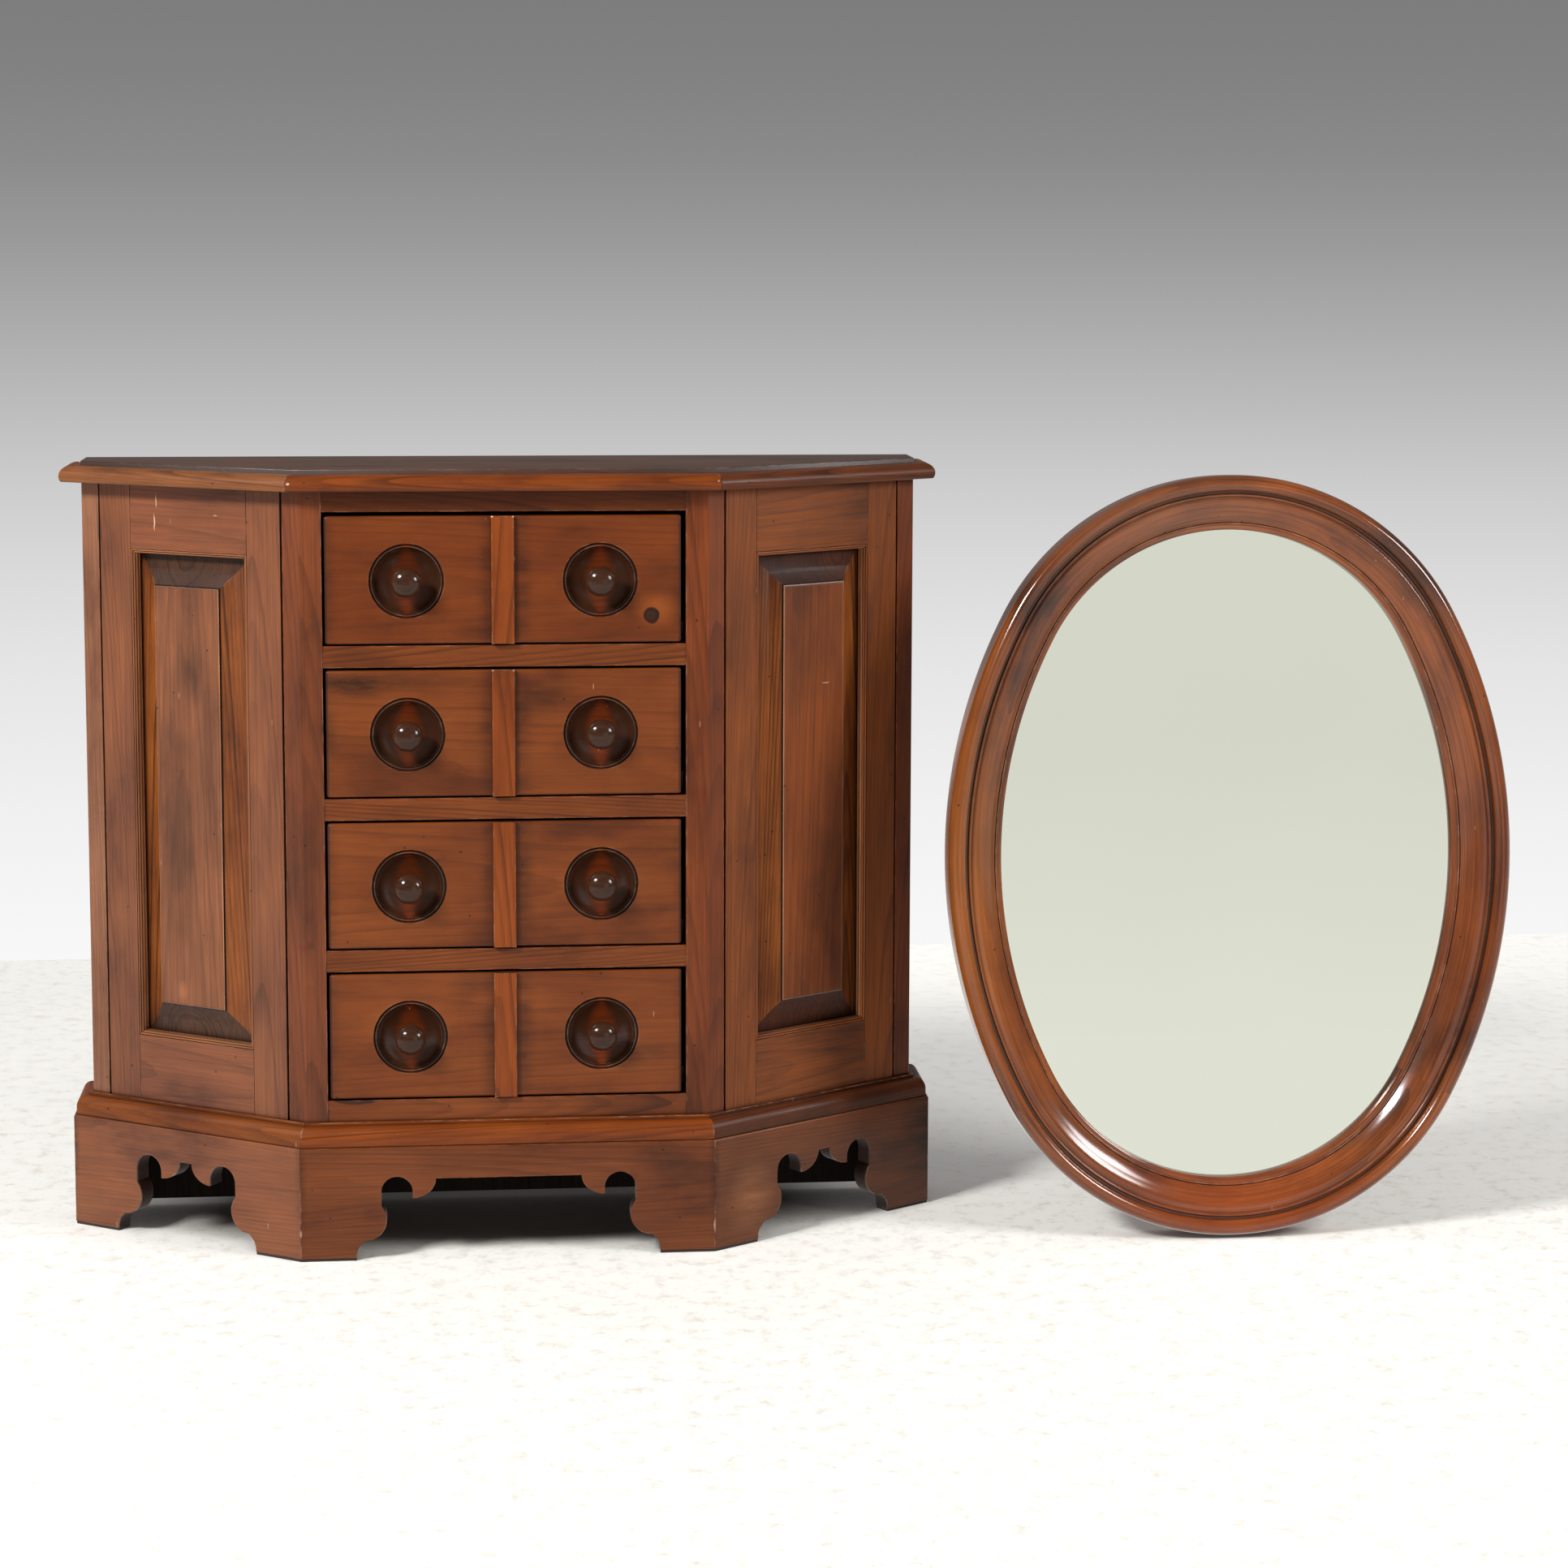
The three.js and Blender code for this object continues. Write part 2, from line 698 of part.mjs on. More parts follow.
function makeBaseMoulding() {
  const profile = baseProfile();
  const front = runAlong(profile, [at_front(-1), at_front(1)]);
  const pieces = [mesh('base_moulding_front', front, moulding_pine())];
  for (const [side, word] of [[-1, 'left'], [1, 'right']]) {
    const length = runAlong(profile, [at_cant_start(side), at_side(side), at_back(side)]);
    pieces.push(mesh(`base_moulding_${word}`, length, moulding_pine()));
  }
  return pieces;
}

// Dish cutter: a ring with a bead, then a bowl down to a flat seat; y runs into the front.
function dishCutter() {
  const bead_radius = dish_radius - dish_ring_width / 2;
  const bowl_radius = dish_radius - dish_ring_width;
  const rim = vec(bowl_radius, dish_ring_drop);
  const seat = vec(dish_seat_radius, dish_depth);
  const profile = [
    vec(0, -cutter_overrun),
    vec(dish_radius, -cutter_overrun),
    vec(dish_radius, 0),
    vec((dish_radius + bead_radius) / 2, dish_ring_drop * 0.8),
    vec(bead_radius, dish_ring_drop / 4),
    rim,
    ...quarter(rim, seat, bowl_steps, false),
    vec(0, dish_depth),
  ];
  return new THREE.LatheGeometry(profile, dish_segments);
}

// Drawer front: a plate with its front edges rounded and two dishes turned into it.
function makeDrawerFront(row, height) {
  const rounding = quarter(vec(drawer_front_round, 0), vec(0, drawer_front_round), drawer_round_steps, false);
  const levels = [vec(drawer_front_round, 0), ...rounding, vec(0, drawer_front_thickness)];
  const rings = levels.map(({ x: inset, y: deep }) => {
    const half_width = drawer_width / 2 - inset;
    const half_height = height / 2 - inset;
    const plan = easedOutline(half_width, half_height, drawer_front_round);
    return plan.map((point) => new THREE.Vector3(point.x, deep, point.y));
  });
  const plate = loft(rings, rings[0].map((point) => vec(point.x, point.z)));
  const dishes = [-1, 1].map((side) => dishCutter().translate((side * dish_spacing) / 2, 0, -dish_drop));
  return mesh(`drawer_${row}_front`, cut(plate, ...dishes), stained_pine());
}

// Rectangle about the origin with rounded corners.
function easedOutline(half_width, half_height, radius) {
  const shape = easedShape(rectangle(-half_width, -half_height, half_width, half_height), radius);
  return shape.getPoints(2).slice(0, -1);
}

function makeStrip(row, height) {
  const half = strip_width / 2;
  const section = easedShape(rectangle(-half, -strip_thickness, half, 0), strip_ease);
  const strip = extrude(section, height).translate(strip_shift, 0, -height / 2);
  return mesh(`drawer_${row}_strip`, strip, stained_pine());
}

// Knob: a flattened ball on a short neck that stands on the seat of its dish.
function makeKnob(name, side) {
  const back = vec(knob_neck_radius, knob_back - knob_equator);
  const equator = vec(knob_radius, -knob_equator);
  const tip = vec(0, -knob_equator - knob_dome);
  const profile = [
    vec(0, dish_depth),
    vec(knob_foot_radius, dish_depth),
    vec(knob_foot_radius, dish_depth - knob_foot_height),
    vec(knob_neck_radius, dish_depth - 2 * knob_foot_height),
    back,
    ...quarter(back, equator, dome_steps, true),
    ...quarter(equator, tip, dome_steps, false),
  ];
  const knob = new THREE.LatheGeometry(profile, knob_segments);
  return mesh(name, knob.translate((side * dish_spacing) / 2, 0, -dish_drop), turned_knob());
}

// Drawer box: sides, back and bottom behind the front.
function makeDrawerBox(row, bottom) {
  const half = drawer_width / 2 - drawer_box_play;
  const back = drawer_front_thickness + drawer_box_length;
  const outer = extrude(new THREE.Shape(rectangle(-half, drawer_front_thickness, half, back)), drawer_box_height);
  const hollow = rectangle(
    drawer_box_wall - half, drawer_front_thickness - cutter_overrun, half - drawer_box_wall, back - drawer_box_wall);
  const inner = extrude(new THREE.Shape(hollow), drawer_box_height).translate(0, 0, drawer_bottom_thickness);
  return mesh(`drawer_${row}_box`, cut(outer, inner).translate(0, 0, bottom), raw_pine());
}

// One drawer, in a group at the middle of its front. Rows count from the top.
function makeDrawer(row) {
  const height = drawer_height;
  const row_bottom = first_row + (row_count - row) * row_pitch;
  const middle = row_bottom + drawer_gap_below + height / 2;
  const group = new THREE.Group();
  group.position.set(drawer_shift, 0, middle);
  group.add(
    makeDrawerFront(row, height),
    makeStrip(row, height),
    makeKnob(`drawer_${row}_knob_left`, -1),
    makeKnob(`drawer_${row}_knob_right`, 1),
    makeDrawerBox(row, row_bottom + drawer_running_gap - middle),
  );
  return group;
}

// The oval as arcs: centre, radius and the angles at which rings are set, all round.
function ovalStations() {
  const end_centre = mirror_half_height - mirror_end_radius;
  const squares = mirror_half_width ** 2 + end_centre ** 2 - mirror_end_radius ** 2;
  const side_radius = squares / (2 * (mirror_half_width - mirror_end_radius));
  const side_centre = side_radius - mirror_half_width;
  const turn = Math.atan2(end_centre, side_centre);
  const sweep = (x, z, radius, from, to, steps) => Array.from({ length: steps }, (_, i) => (
    { x, z, radius, angle: from + ((to - from) * i) / steps }));
  return [
    ...sweep(-side_centre, 0, side_radius, -turn, turn, side_arc_steps),
    ...sweep(0, end_centre, mirror_end_radius, turn, Math.PI - turn, end_arc_steps),
    ...sweep(side_centre, 0, side_radius, Math.PI - turn, Math.PI + turn, side_arc_steps),
    ...sweep(0, -end_centre, mirror_end_radius, Math.PI + turn, 2 * Math.PI - turn, end_arc_steps),
  ];
}

function ovalPoint(station, inset, deep) {
  const reach = station.radius - inset;
  const x = station.x + reach * Math.cos(station.angle);
  const z = station.z + reach * Math.sin(station.angle) + mirror_half_height;
  return new THREE.Vector3(x, deep, z);
}

// Section of the mirror frame: inset from the outer edge, and depth behind the torus's crest.
function mirrorSection() {
  const crest = vec(torus_crest, 0);
  const quirk_end = torus_width + mirror_quirk_width;
  const swell = new THREE.QuadraticBezierCurve(
    vec(quirk_end, swell_start_drop), vec(swell_crown, swell_crown_drop), vec(swell_end, swell_end_drop));
  const outer = vec(0, torus_height);
  return [
    vec(0, mirror_depth),
    outer,
    ...quarter(outer, crest, torus_steps, false),
    ...quarter(crest, vec(torus_width, torus_inner_drop), torus_steps, true),
    vec(torus_width, mirror_quirk_drop),
    vec(quirk_end, mirror_quirk_drop),
    ...swell.getPoints(swell_steps),
    vec(swell_end, lip_step_drop),
    vec(lip_out, lip_drop),
    vec(lip_out, glass_drop),
    vec(rabbet_out, glass_drop),
    vec(rabbet_out, mirror_depth),
  ];
}

function ovalPlate(name, inset, front, back, finish) {
  const stations = ovalStations();
  const rings = [front, back].map((deep) => stations.map((station) => ovalPoint(station, inset, deep)));
  return mesh(name, loft(rings, rings[0].map((point) => vec(point.x, point.z))), finish);
}

// Mirror: it stands on the back of its lower rim and leans back.
function makeMirror() {
  const tilt = THREE.MathUtils.degToRad(mirror_tilt);
  const section = mirrorSection();
  const rings = ovalStations().map((station) => section.map((point) => ovalPoint(station, point.x, point.y)));
  const glass_front = glass_drop + joint_gap;
  const glass_back = glass_front + glass_thickness;
  const group = new THREE.Group();
  group.position.set(mirror_x, mirror_y, mirror_depth * Math.sin(tilt));
  group.rotation.x = -tilt;
  group.add(
    mesh('mirror_frame', loft(rings), mirror_wood()),
    ovalPlate('mirror_glass', rabbet_out + joint_gap, glass_front, glass_back, mirror_glass()),
    ovalPlate('mirror_backboard', rabbet_out + joint_gap, glass_back + joint_gap, mirror_depth, raw_pine()),
  );
  return group;
}

function makeCarcase() {
  const group = new THREE.Group();
  group.add(makeTop(), makeBackPanel(), ...makeFrontRails(), ...makePlinth(), ...makePads(), ...makeBaseMoulding());
  for (const [side, word] of [[-1, 'left'], [1, 'right']]) {
    group.add(makePost(`front_post_${word}`, frontPostPlan(), side));
    group.add(makePost(`rear_post_${word}`, rearPostPlan(), side));
    group.add(makeSideFrame(side, word));
  }
  return group;
}

// Everything, moved so that the origin is the middle of the floor under the whole set.
function makeDresser() {
  const set = new THREE.Group();
  set.add(makeCarcase(), makeMirror());
  for (let row = 1; row <= row_count; row += 1) set.add(makeDustBoard(row), makeDrawer(row));
  set.updateMatrixWorld(true);
  const bounds = new THREE.Box3().setFromObject(set, true);
  const centre = bounds.getCenter(new THREE.Vector3());
  set.position.set(-centre.x, -centre.y, -bounds.min.z);
  const root = new THREE.Group();
  root.add(set);
  return root;
}

export default makeDresser();
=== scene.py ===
# %% [markdown]
# # A canted chest of drawers and its oval mirror
# The chest is pine with a red-brown stain: four wide drawers, a framed panel on each canted side, a
# moulded top and a plinth with a scrolled cut-out. A loose oval mirror stands on the floor beside it.
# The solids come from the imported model, in metres. Each step dresses one of them, or builds a finer
# piece in the same place and rides it on the same body.

import random
from functools import partial
from math import acos, atan, atan2, cos, degrees, hypot, pi, radians, sin, tan, tau

import bmesh
import bpy
from mathutils import Matrix, Vector


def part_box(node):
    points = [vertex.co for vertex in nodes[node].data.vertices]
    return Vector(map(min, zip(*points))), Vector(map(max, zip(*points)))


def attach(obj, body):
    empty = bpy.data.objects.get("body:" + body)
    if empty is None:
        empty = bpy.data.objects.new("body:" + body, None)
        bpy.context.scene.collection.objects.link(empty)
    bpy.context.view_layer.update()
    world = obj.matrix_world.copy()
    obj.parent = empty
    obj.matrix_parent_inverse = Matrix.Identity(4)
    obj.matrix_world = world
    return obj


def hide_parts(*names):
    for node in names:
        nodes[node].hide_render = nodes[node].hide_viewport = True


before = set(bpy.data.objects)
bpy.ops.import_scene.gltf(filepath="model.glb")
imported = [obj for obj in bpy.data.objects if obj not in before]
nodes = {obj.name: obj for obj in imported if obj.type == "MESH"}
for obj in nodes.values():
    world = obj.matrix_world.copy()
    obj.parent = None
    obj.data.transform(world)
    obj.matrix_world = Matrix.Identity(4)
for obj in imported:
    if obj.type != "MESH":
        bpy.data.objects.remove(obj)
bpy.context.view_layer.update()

# %% [markdown]
# ## The plan
# Seen from above the chest is a bow of three straight faces: a front, and a cant on each side. Every
# moulding follows that plan at its own distance out, so two small functions give the corners where
# offset faces meet, and all the mouldings and boards below use them.

# %% Sizes read from the solids and the plan
mm = 0.001
hair, touching = 0.15 * mm, 0.001 * mm
sides = ((-1, "left"), (1, "right"))
rows = (1, 2, 3, 4)
front_half, carcase_half = 209.5 * mm, 442.8 * mm
cant_depth, carcase_depth = 152.2 * mm, 208.9 * mm
cant_angle = atan2(cant_depth, carcase_half - front_half)
cant_length = hypot(cant_depth, carcase_half - front_half)
cant_step = {side: Vector((side * cos(cant_angle), sin(cant_angle))) * hair for side, _ in sides}
plinth_box, moulding_box, top_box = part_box("plinth_front"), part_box("base_moulding_front"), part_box("top")
home = Vector(((plinth_box[0].x + plinth_box[1].x) / 2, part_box("front_post_left")[0].y))
foot_level, plinth_top = plinth_box[0].z, plinth_box[1].z
moulding_top = moulding_box[1].z
carcase_top, top_level = top_box[0].z, top_box[1].z
print("cant", degrees(cant_angle), "degrees,", cant_length, "long; home", home[:])


def front_corner(front, cant, side):
    """Corner of the plan where a front and a cant standing out by these amounts meet."""
    x = front_half + (cant - front * cos(cant_angle)) / sin(cant_angle)
    return home + Vector((side * x, -front))


def side_corner(cant, flank, side):
    """Corner of the plan where a cant and the short side behind it meet."""
    rise = (carcase_half - front_half + flank) * sin(cant_angle) - cant
    return home + Vector((side * (carcase_half + flank), rise / cos(cant_angle)))


def back_end(flank, side):
    """End of the short side, at the back of the chest."""
    return home + Vector((side * (carcase_half + flank), carcase_depth))


def sticks(front, cant, flank):
    """Each length of a moulding: its word and its two ends, which turn a distance out into a place on
    the plan. A length stops a hair short of its mitres, so that no two touch."""

    def near(side, step):
        return lambda out: front_corner(front + out, cant + out, side) + step

    def far(side, step):
        return lambda out: side_corner(cant + out, flank + out, side) + step

    def rear(side):
        return lambda out: back_end(flank + out, side)

    yield "front", [near(side, Vector((-side * hair, 0))) for side, _ in sides]
    for side, word in sides:
        yield word, [near(side, cant_step[side]), far(side, -cant_step[side])]
        yield f"flank_{word}", [far(side, Vector((0, hair))), rear(side)]


# %% [markdown]
# ## Colours
# Colours are read off the photograph as sRGB hex. Shader sockets want linear light, so one function
# turns a hex into the four numbers that a socket takes.


# %% Colours
rgba = {"data_type": "RGBA"}
smooth = {"interpolation_type": "SMOOTHSTEP"}


def tone(code):
    """A colour written as sRGB hex, as linear red, green, blue and alpha."""
    channels = [int(code[i : i + 2], 16) / 255 for i in (1, 3, 5)]
    return (*[c / 12.92 if c <= 0.04045 else ((c + 0.055) / 1.055) ** 2.4 for c in channels], 1)


def fill(node, *values, **named):
    """Fills a node's sockets, in their order or by name, _ for a space. A socket takes a value, a
    colour as hex, or a link from an output or from a node's first output."""
    usable = [s for s in node.inputs if s.enabled]
    pairs = list(zip(usable, values))
    pairs += [(next(s for s in usable if s.name == key.replace("_", " ")), named[key]) for key in named]
    for socket, value in pairs:
        if isinstance(value, str):
            value = tone(value)
        elif isinstance(value, bpy.types.Node):
            value = next(s for s in value.outputs if s.enabled)
        if isinstance(value, bpy.types.NodeSocket):
            node.id_data.links.new(value, socket)
        else:
            socket.default_value = value
    return node


def add(tree, kind, *values, **named):
    """Adds a node; its kind may end in a dot and an operation. Names in small letters are settings,
    and the rest fills its sockets."""
    kind, _, operation = kind.partition(".")
    made = tree.nodes.new("ShaderNode" + kind)
    if operation:
        made.operation = operation
    for name in [n for n in named if n.islower()]:
        setattr(made, name, named.pop(name))
    return fill(made, *values, **named)


def new_finish(name):
    """A new material, its shader, the function that adds a node to it, and the place shaded."""
    finish = bpy.data.materials.new(name)
    finish.use_nodes = True
    node = partial(add, finish.node_tree)
    shader = finish.node_tree.nodes["Principled BSDF"]
    return finish, shader, node, node("TexCoord").outputs["Object"]


print("mid stain in linear light", tone("#733a1a"))

# %% [markdown]
# ## Stained pine
# The wood is plain-sawn pine, planed, stained red-brown, glazed dark in its corners and sprayed with
# satin lacquer. Growth rings are cones round the heart of the tree, so the pattern measures the
# distance to a heart line that lies a few centimetres behind each board, adds a taper and a little
# waver, and cuts the result into rings. The board's own cut then gives long flames, straight lines
# or end grain, as on the real boards. A picture of wood would repeat and would not turn the corner.
#
# The dark glaze that collects in corners is found with Ambient Occlusion, and the pale rubbed
# corners with a Bevel normal that differs from the surface normal. Knots, smoky patches and
# scratches are not chance: each is listed as a small ellipsoid in the wood.
# That corner darkening is partly painted shade, as it falls where a near surface would shade, and some listed
# marks below are painted light or shade as well.

# %% Grain directions and the heart of each board
along_x = (0, 0, 0)
along_y = (0, 0, -pi / 2)
upright = (0, pi / 2, 0)
along_cant = {-1: (0, 0, cant_angle), 1: (0, 0, -cant_angle)}
end_tone, glaze_and_shade_tone, speck_tone, rubbed_tone = "#2e1a0f", "#160b07", "#1e0f09", "#c99877"


def from_log(piece):
    """Gives a board its own place in the tree: the heart lies 25 to 70 mm away from it."""
    pick = random.Random(piece.name)
    middle = sum((Vector(c) for c in piece.bound_box), Vector()) / 8
    depth = pick.uniform(25 * mm, 70 * mm)
    turn = pick.uniform(-0.5, 0.5)
    piece["heart"] = list(middle + Vector((sin(turn), cos(turn), sin(turn * 3))) * depth)
    piece["wander"] = [pick.uniform(-5, 5) for _ in range(3)]


# %% Stained pine
pine = {}


def stain(
    name, grain, tones, ring, ring_share, fibre_share, smoke_share, ends=0.7, glaze=0.75,
    worn=0.7, rough=(0.3, 0.46), waver_mm=9, by_hand=(), drawn_on="Object", gloss=0.25,
    end_at=(0.05, 0.26), glaze_and_shade_mm=5,
):
    """Lacquered pine: satin, warm brown, with rings, fibre, smoky stain, glaze with painted shade in
    corners, specks and wear. tones are its light, mid and dark, ring is the ring spacing in
    millimetres, and each share says how strongly a mark shows. The finish is kept in the box of pine
    under its name."""
    pine[name], shader, node, spot = new_finish(f"stained_pine_{name}")
    light, mid, dark = tones.split()
    place = spot
    if drawn_on != "Object":
        place = node("Attribute", attribute_name=drawn_on).outputs["Vector"]
    heart, wander = (
        node("Attribute", attribute_type="OBJECT", attribute_name=key).outputs["Vector"]
        for key in ("heart", "wander")
    )
    board = node("Mapping", node("VectorMath.SUBTRACT", place, heart), Rotation=grain)
    moved = node("VectorMath", board, wander)

    # Rings: distance to the heart, plus taper along the trunk and a slow waver.
    x, y, z = node("SeparateXYZ", board).outputs
    reach = node("VectorMath.LENGTH", node("CombineXYZ", Y=y, Z=z))
    slow = node("Mapping", moved, Scale=(1.3, 11, 11))
    waver = node("TexNoise", slow, Scale=1, Detail=5, Roughness=0.52)
    cone = node("Math.MULTIPLY_ADD", x, 0.035, reach)
    grown = node("Math.MULTIPLY_ADD", waver, waver_mm * mm, cone)
    count = node("Math.DIVIDE", grown, ring * mm)
    late = node("MapRange", node("Math.FRACT", count), 0.35, 0.95, **smooth)
    # Good and bad summers: each ring has its own depth of colour.
    summer = node("TexWhiteNoise", W=node("Math.FLOOR", count), noise_dimensions="1D")

    # Fibre streaks about 2 mm wide and 150 mm long: real ones are finer, but would not show.
    fine = node("Mapping", moved, Scale=(7, 520, 520))
    fibre = node("TexNoise", fine, Scale=1, Detail=4, Roughness=0.65)
    streak = node("MapRange", fibre, 0.4, 0.7)

    # Stain takes unevenly in patches of 60 to 150 mm, and blackens a few of them.
    broad = node("Mapping", moved, Scale=(6, 15, 15))
    cloud = node("TexNoise", broad, Scale=1, Detail=5, Roughness=0.58)
    uneven = node("MapRange", cloud, 0.36, 0.62)
    smoky = node("MapRange", cloud, 0.55, 0.75, 0, smoke_share, **smooth)

    colour = node("Mix", uneven, light, mid, **rgba)
    ringed = node("Math.MULTIPLY", late, summer)
    ringed = node("Math.MULTIPLY", ringed, ring_share * 1.7)
    fibrous = node("Math.MULTIPLY", streak, fibre_share)
    marks = [(ringed, dark), (fibrous, dark), (smoky, glaze_and_shade_tone)]

    # End grain drinks more stain: where the surface turns to face along the grain.
    facing = node("Mapping", spot.node.outputs["Normal"], Rotation=grain, vector_type="VECTOR")
    lengthways = node("Math.ABSOLUTE", node("SeparateXYZ", facing).outputs["X"])
    marks.append((node("MapRange", lengthways, *end_at, 0, ends, **smooth), end_tone))

    # Listed marks, each an ellipsoid. Their edges are made uneven with a little noise, and those that
    # fade out fully, as smoke does, are broken up into streaks of 10 to 40 mm along the grain.
    if by_hand:
        drift = node("Mapping", moved, Scale=(14, 70, 70))
        wisps = node("TexNoise", drift, Scale=1, Detail=5, Roughness=0.65)
        wispy = node("MapRange", wisps, 0.36, 0.64, 0.3, 1.25)
        grit = node("TexNoise", spot, Scale=120, Detail=3).outputs["Color"]
        shaken = node("VectorMath.MULTIPLY_ADD", grit, (2.4 * mm,) * 3, spot)
    for centre, half, strength, ink, fade in by_hand:
        gone = node("VectorMath.SUBTRACT", shaken, tuple(c + 1.2 * mm for c in centre))
        away = node("VectorMath.LENGTH", node("VectorMath.DIVIDE", gone, half))
        inside = node("MapRange", away, 1, 1 - fade, 0, strength, **smooth)
        if fade == 1:
            inside = node("Math.MULTIPLY", inside, wispy, use_clamp=True)
        marks.append((inside, ink))

    # Dark glaze in corners, within 5 mm or so of another surface, and painted shade there as well.
    open_air = node("AmbientOcclusion", Distance=glaze_and_shade_mm * mm, samples=4).outputs["AO"]
    marks.append((node("MapRange", open_air, 0.92, 0.3, 0, glaze, **smooth), glaze_and_shade_tone))

    # Distress specks 1 to 3 mm across, in one of two 20 mm cells.
    dots = node("TexVoronoi", spot, Scale=50)
    dot = node("MapRange", dots, 0.08, 0.03, 0, 0.9)
    kept = node("Math.GREATER_THAN", node("SeparateColor", dots.outputs["Color"]), 0.45)
    marks.append((node("Math.MULTIPLY", dot, kept), speck_tone))

    # Pale nicks about 1 mm wide and 7 mm long, in one of six cells of 11 by 11 by 70 mm.
    slanted = node("Mapping", spot, Rotation=(0.7, 0.5, 0.3), Scale=(90, 90, 14))
    nicks = node("TexVoronoi", slanted, Scale=1)
    nick = node("MapRange", nicks, 0.06, 0.03, 0, 0.45)
    few = node("Math.GREATER_THAN", node("SeparateColor", nicks.outputs["Color"]), 0.84)
    marks.append((node("Math.MULTIPLY", nick, few), rubbed_tone))

    # Rubbed corners: where a 1.6 mm rounding would turn the surface, and only on outer corners.
    rounded = node("Bevel", Radius=1.6 * mm, samples=4)
    same = node("VectorMath.DOT_PRODUCT", rounded, node("NewGeometry").outputs["Normal"])
    turned = node("MapRange", same, 0.985, 0.86)
    rubs = node("TexNoise", spot, Scale=75, Detail=4)
    patchy = node("MapRange", rubs, 0.48, 0.62, 0, worn)
    outer = node("MapRange", open_air, 0.75, 0.95)
    rubbed = node("Math.MULTIPLY", turned, patchy)
    marks.append((node("Math.MULTIPLY", rubbed, outer), rubbed_tone))
    for share, ink in marks:
        colour = node("Mix", share, colour, ink, **rgba)

    dull = node("MapRange", fibre, 0.3, 0.7, *rough)
    height = node("Math.MULTIPLY_ADD", late, -0.35, fibre)
    height = node("Math.SUBTRACT", height, dot)
    relief = node("Bump", Strength=0.25, Distance=0.2 * mm, Height=height)
    fill(shader, Base_Color=colour, Roughness=dull, Normal=relief, IOR=1.5, Specular_IOR_Level=gloss)


# %% Marks that the wood of this chest shows
face_y = home.y
pale = "#d8b89a"


def mark(x, y, z, wide, tall, strength, ink="#1b0e08", fade=1, deep=40):
    """A mark round a place in metres, with half lengths in millimetres, a strength, a colour, and how
    much of it fades. Its last defaults make a soft dark patch: smoke where the glaze was left on, or
    painted shade where a mark below says so."""
    return (x, y, z), (wide * mm, deep * mm, tall * mm), strength, ink, fade


def knot(x, y, z, radius):
    """A sound knot: a warm halo, a black rim and a brown eye with a dark pith."""
    away, eye, pith = radius * 3.2, radius * 0.68, radius * 0.3
    return [
        mark(x + 6 * mm, y, z + 6 * mm, away, away * 0.8, 0.45, "#a4561f", 0.9, 20),
        mark(x, y, z, radius, radius, 0.95, "#170c07", 0.25, 20),
        mark(x - 1 * mm, y, z, eye, eye, 0.38, "#4a2412", 0.5, 20),
        mark(x - 1 * mm, y, z, pith, pith, 0.7, "#1a0c07", 0.9, 20),
    ]


def beside_strip(row):
    """Glaze left on a drawer's face along both sides of its middle strip and at its ends."""
    low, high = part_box(f"drawer_{row}_front")
    middle, level = (low.x + high.x) / 2, (low.z + high.z) / 2
    places = (middle - 17 * mm, middle + 17 * mm, low.x, high.x)
    bands = zip(places, (15, 18, 16, 12), (0.4, 0.5, 0.35, 0.3))
    return [mark(x, low.y, level, wide, 140, strength) for x, wide, strength in bands]


front_marks = {
    1: knot(-0.152, face_y, 0.6713, 9.5) + [mark(-0.327, face_y, 0.655, 50, 22, 0.35)],
    2: [
        mark(-0.452, face_y, 0.602, 75, 20, 0.85),
        mark(-0.385, face_y, 0.605, 60, 13, 0.6),
        mark(-0.262, face_y, 0.59, 45, 30, 0.55),
    ],
    3: [mark(-0.44, face_y, 0.322, 60, 14, 0.4), mark(-0.14, face_y, 0.43, 50, 20, 0.3)],
    4: [
        mark(-0.34, face_y, 0.285, 30, 30, 0.35),
        mark(-0.18, face_y, 0.21, 80, 20, 0.4),
        mark(-0.41, face_y, 0.245, 90, 50, 0.35, "#a4561f"),
    ],
}
rail_marks = [mark(-0.4597, face_y, 0.1685, 28, 8.5, 0.85, "#2c1712", 0.15, 20)]
post_marks = [
    mark(-0.507, face_y, 0.35, 14, 60, 0.6),
    mark(-0.505, face_y, 0.33, 6, 8, 0.6),
    mark(-0.514, face_y, 0.3285, 7, 5, 0.5, "#5c2414", 0.7, 20),
]
cant_marks = {
    -1: [
        mark(-0.6658, 0.0087, 0.762, 0.9, 11, 0.75, pale, 0.6, 10),
        mark(-0.6637, 0.0074, 0.784, 0.7, 9, 0.6, pale, 0.6, 10),
        mark(-0.60, -0.033, 0.772, 3, 0.7, 0.4, pale, 0.6, 10),
    ],
    1: [mark(0.07, 0.015, 0.2, 60, 50, 0.5)],
}
panel_marks = [
    mark(-0.6245, -0.0182, 0.602, 22, 50, 0.6),
    mark(-0.612, -0.026, 0.50, 11, 150, 0.3),
    mark(-0.655, 0.0, 0.40, 12, 100, 0.2),
    mark(0.046, 0.0, 0.35, 20, 200, 0.5),
    mark(-0.6438, -0.0056, 0.265, 7, 16, 0.35, "#b8754a", 0.9, 20),
    mark(0.0389, -0.0049, 0.588, 6.5, 0.7, 0.6, pale, 0.6, 10),
]
strip_marks = []
for row in (1, 2):
    low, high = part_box(f"drawer_{row}_strip")
    ends = (low.x, high.x)
    strip_marks += [mark(x, low.y, high.z, 3, 2.4, 0.8 / row, "#e0c0a0", 0.7, 4) for x in ends]
left_nose, right_nose = (front_corner(19 * mm, 21 * mm, side) for side, _ in sides)
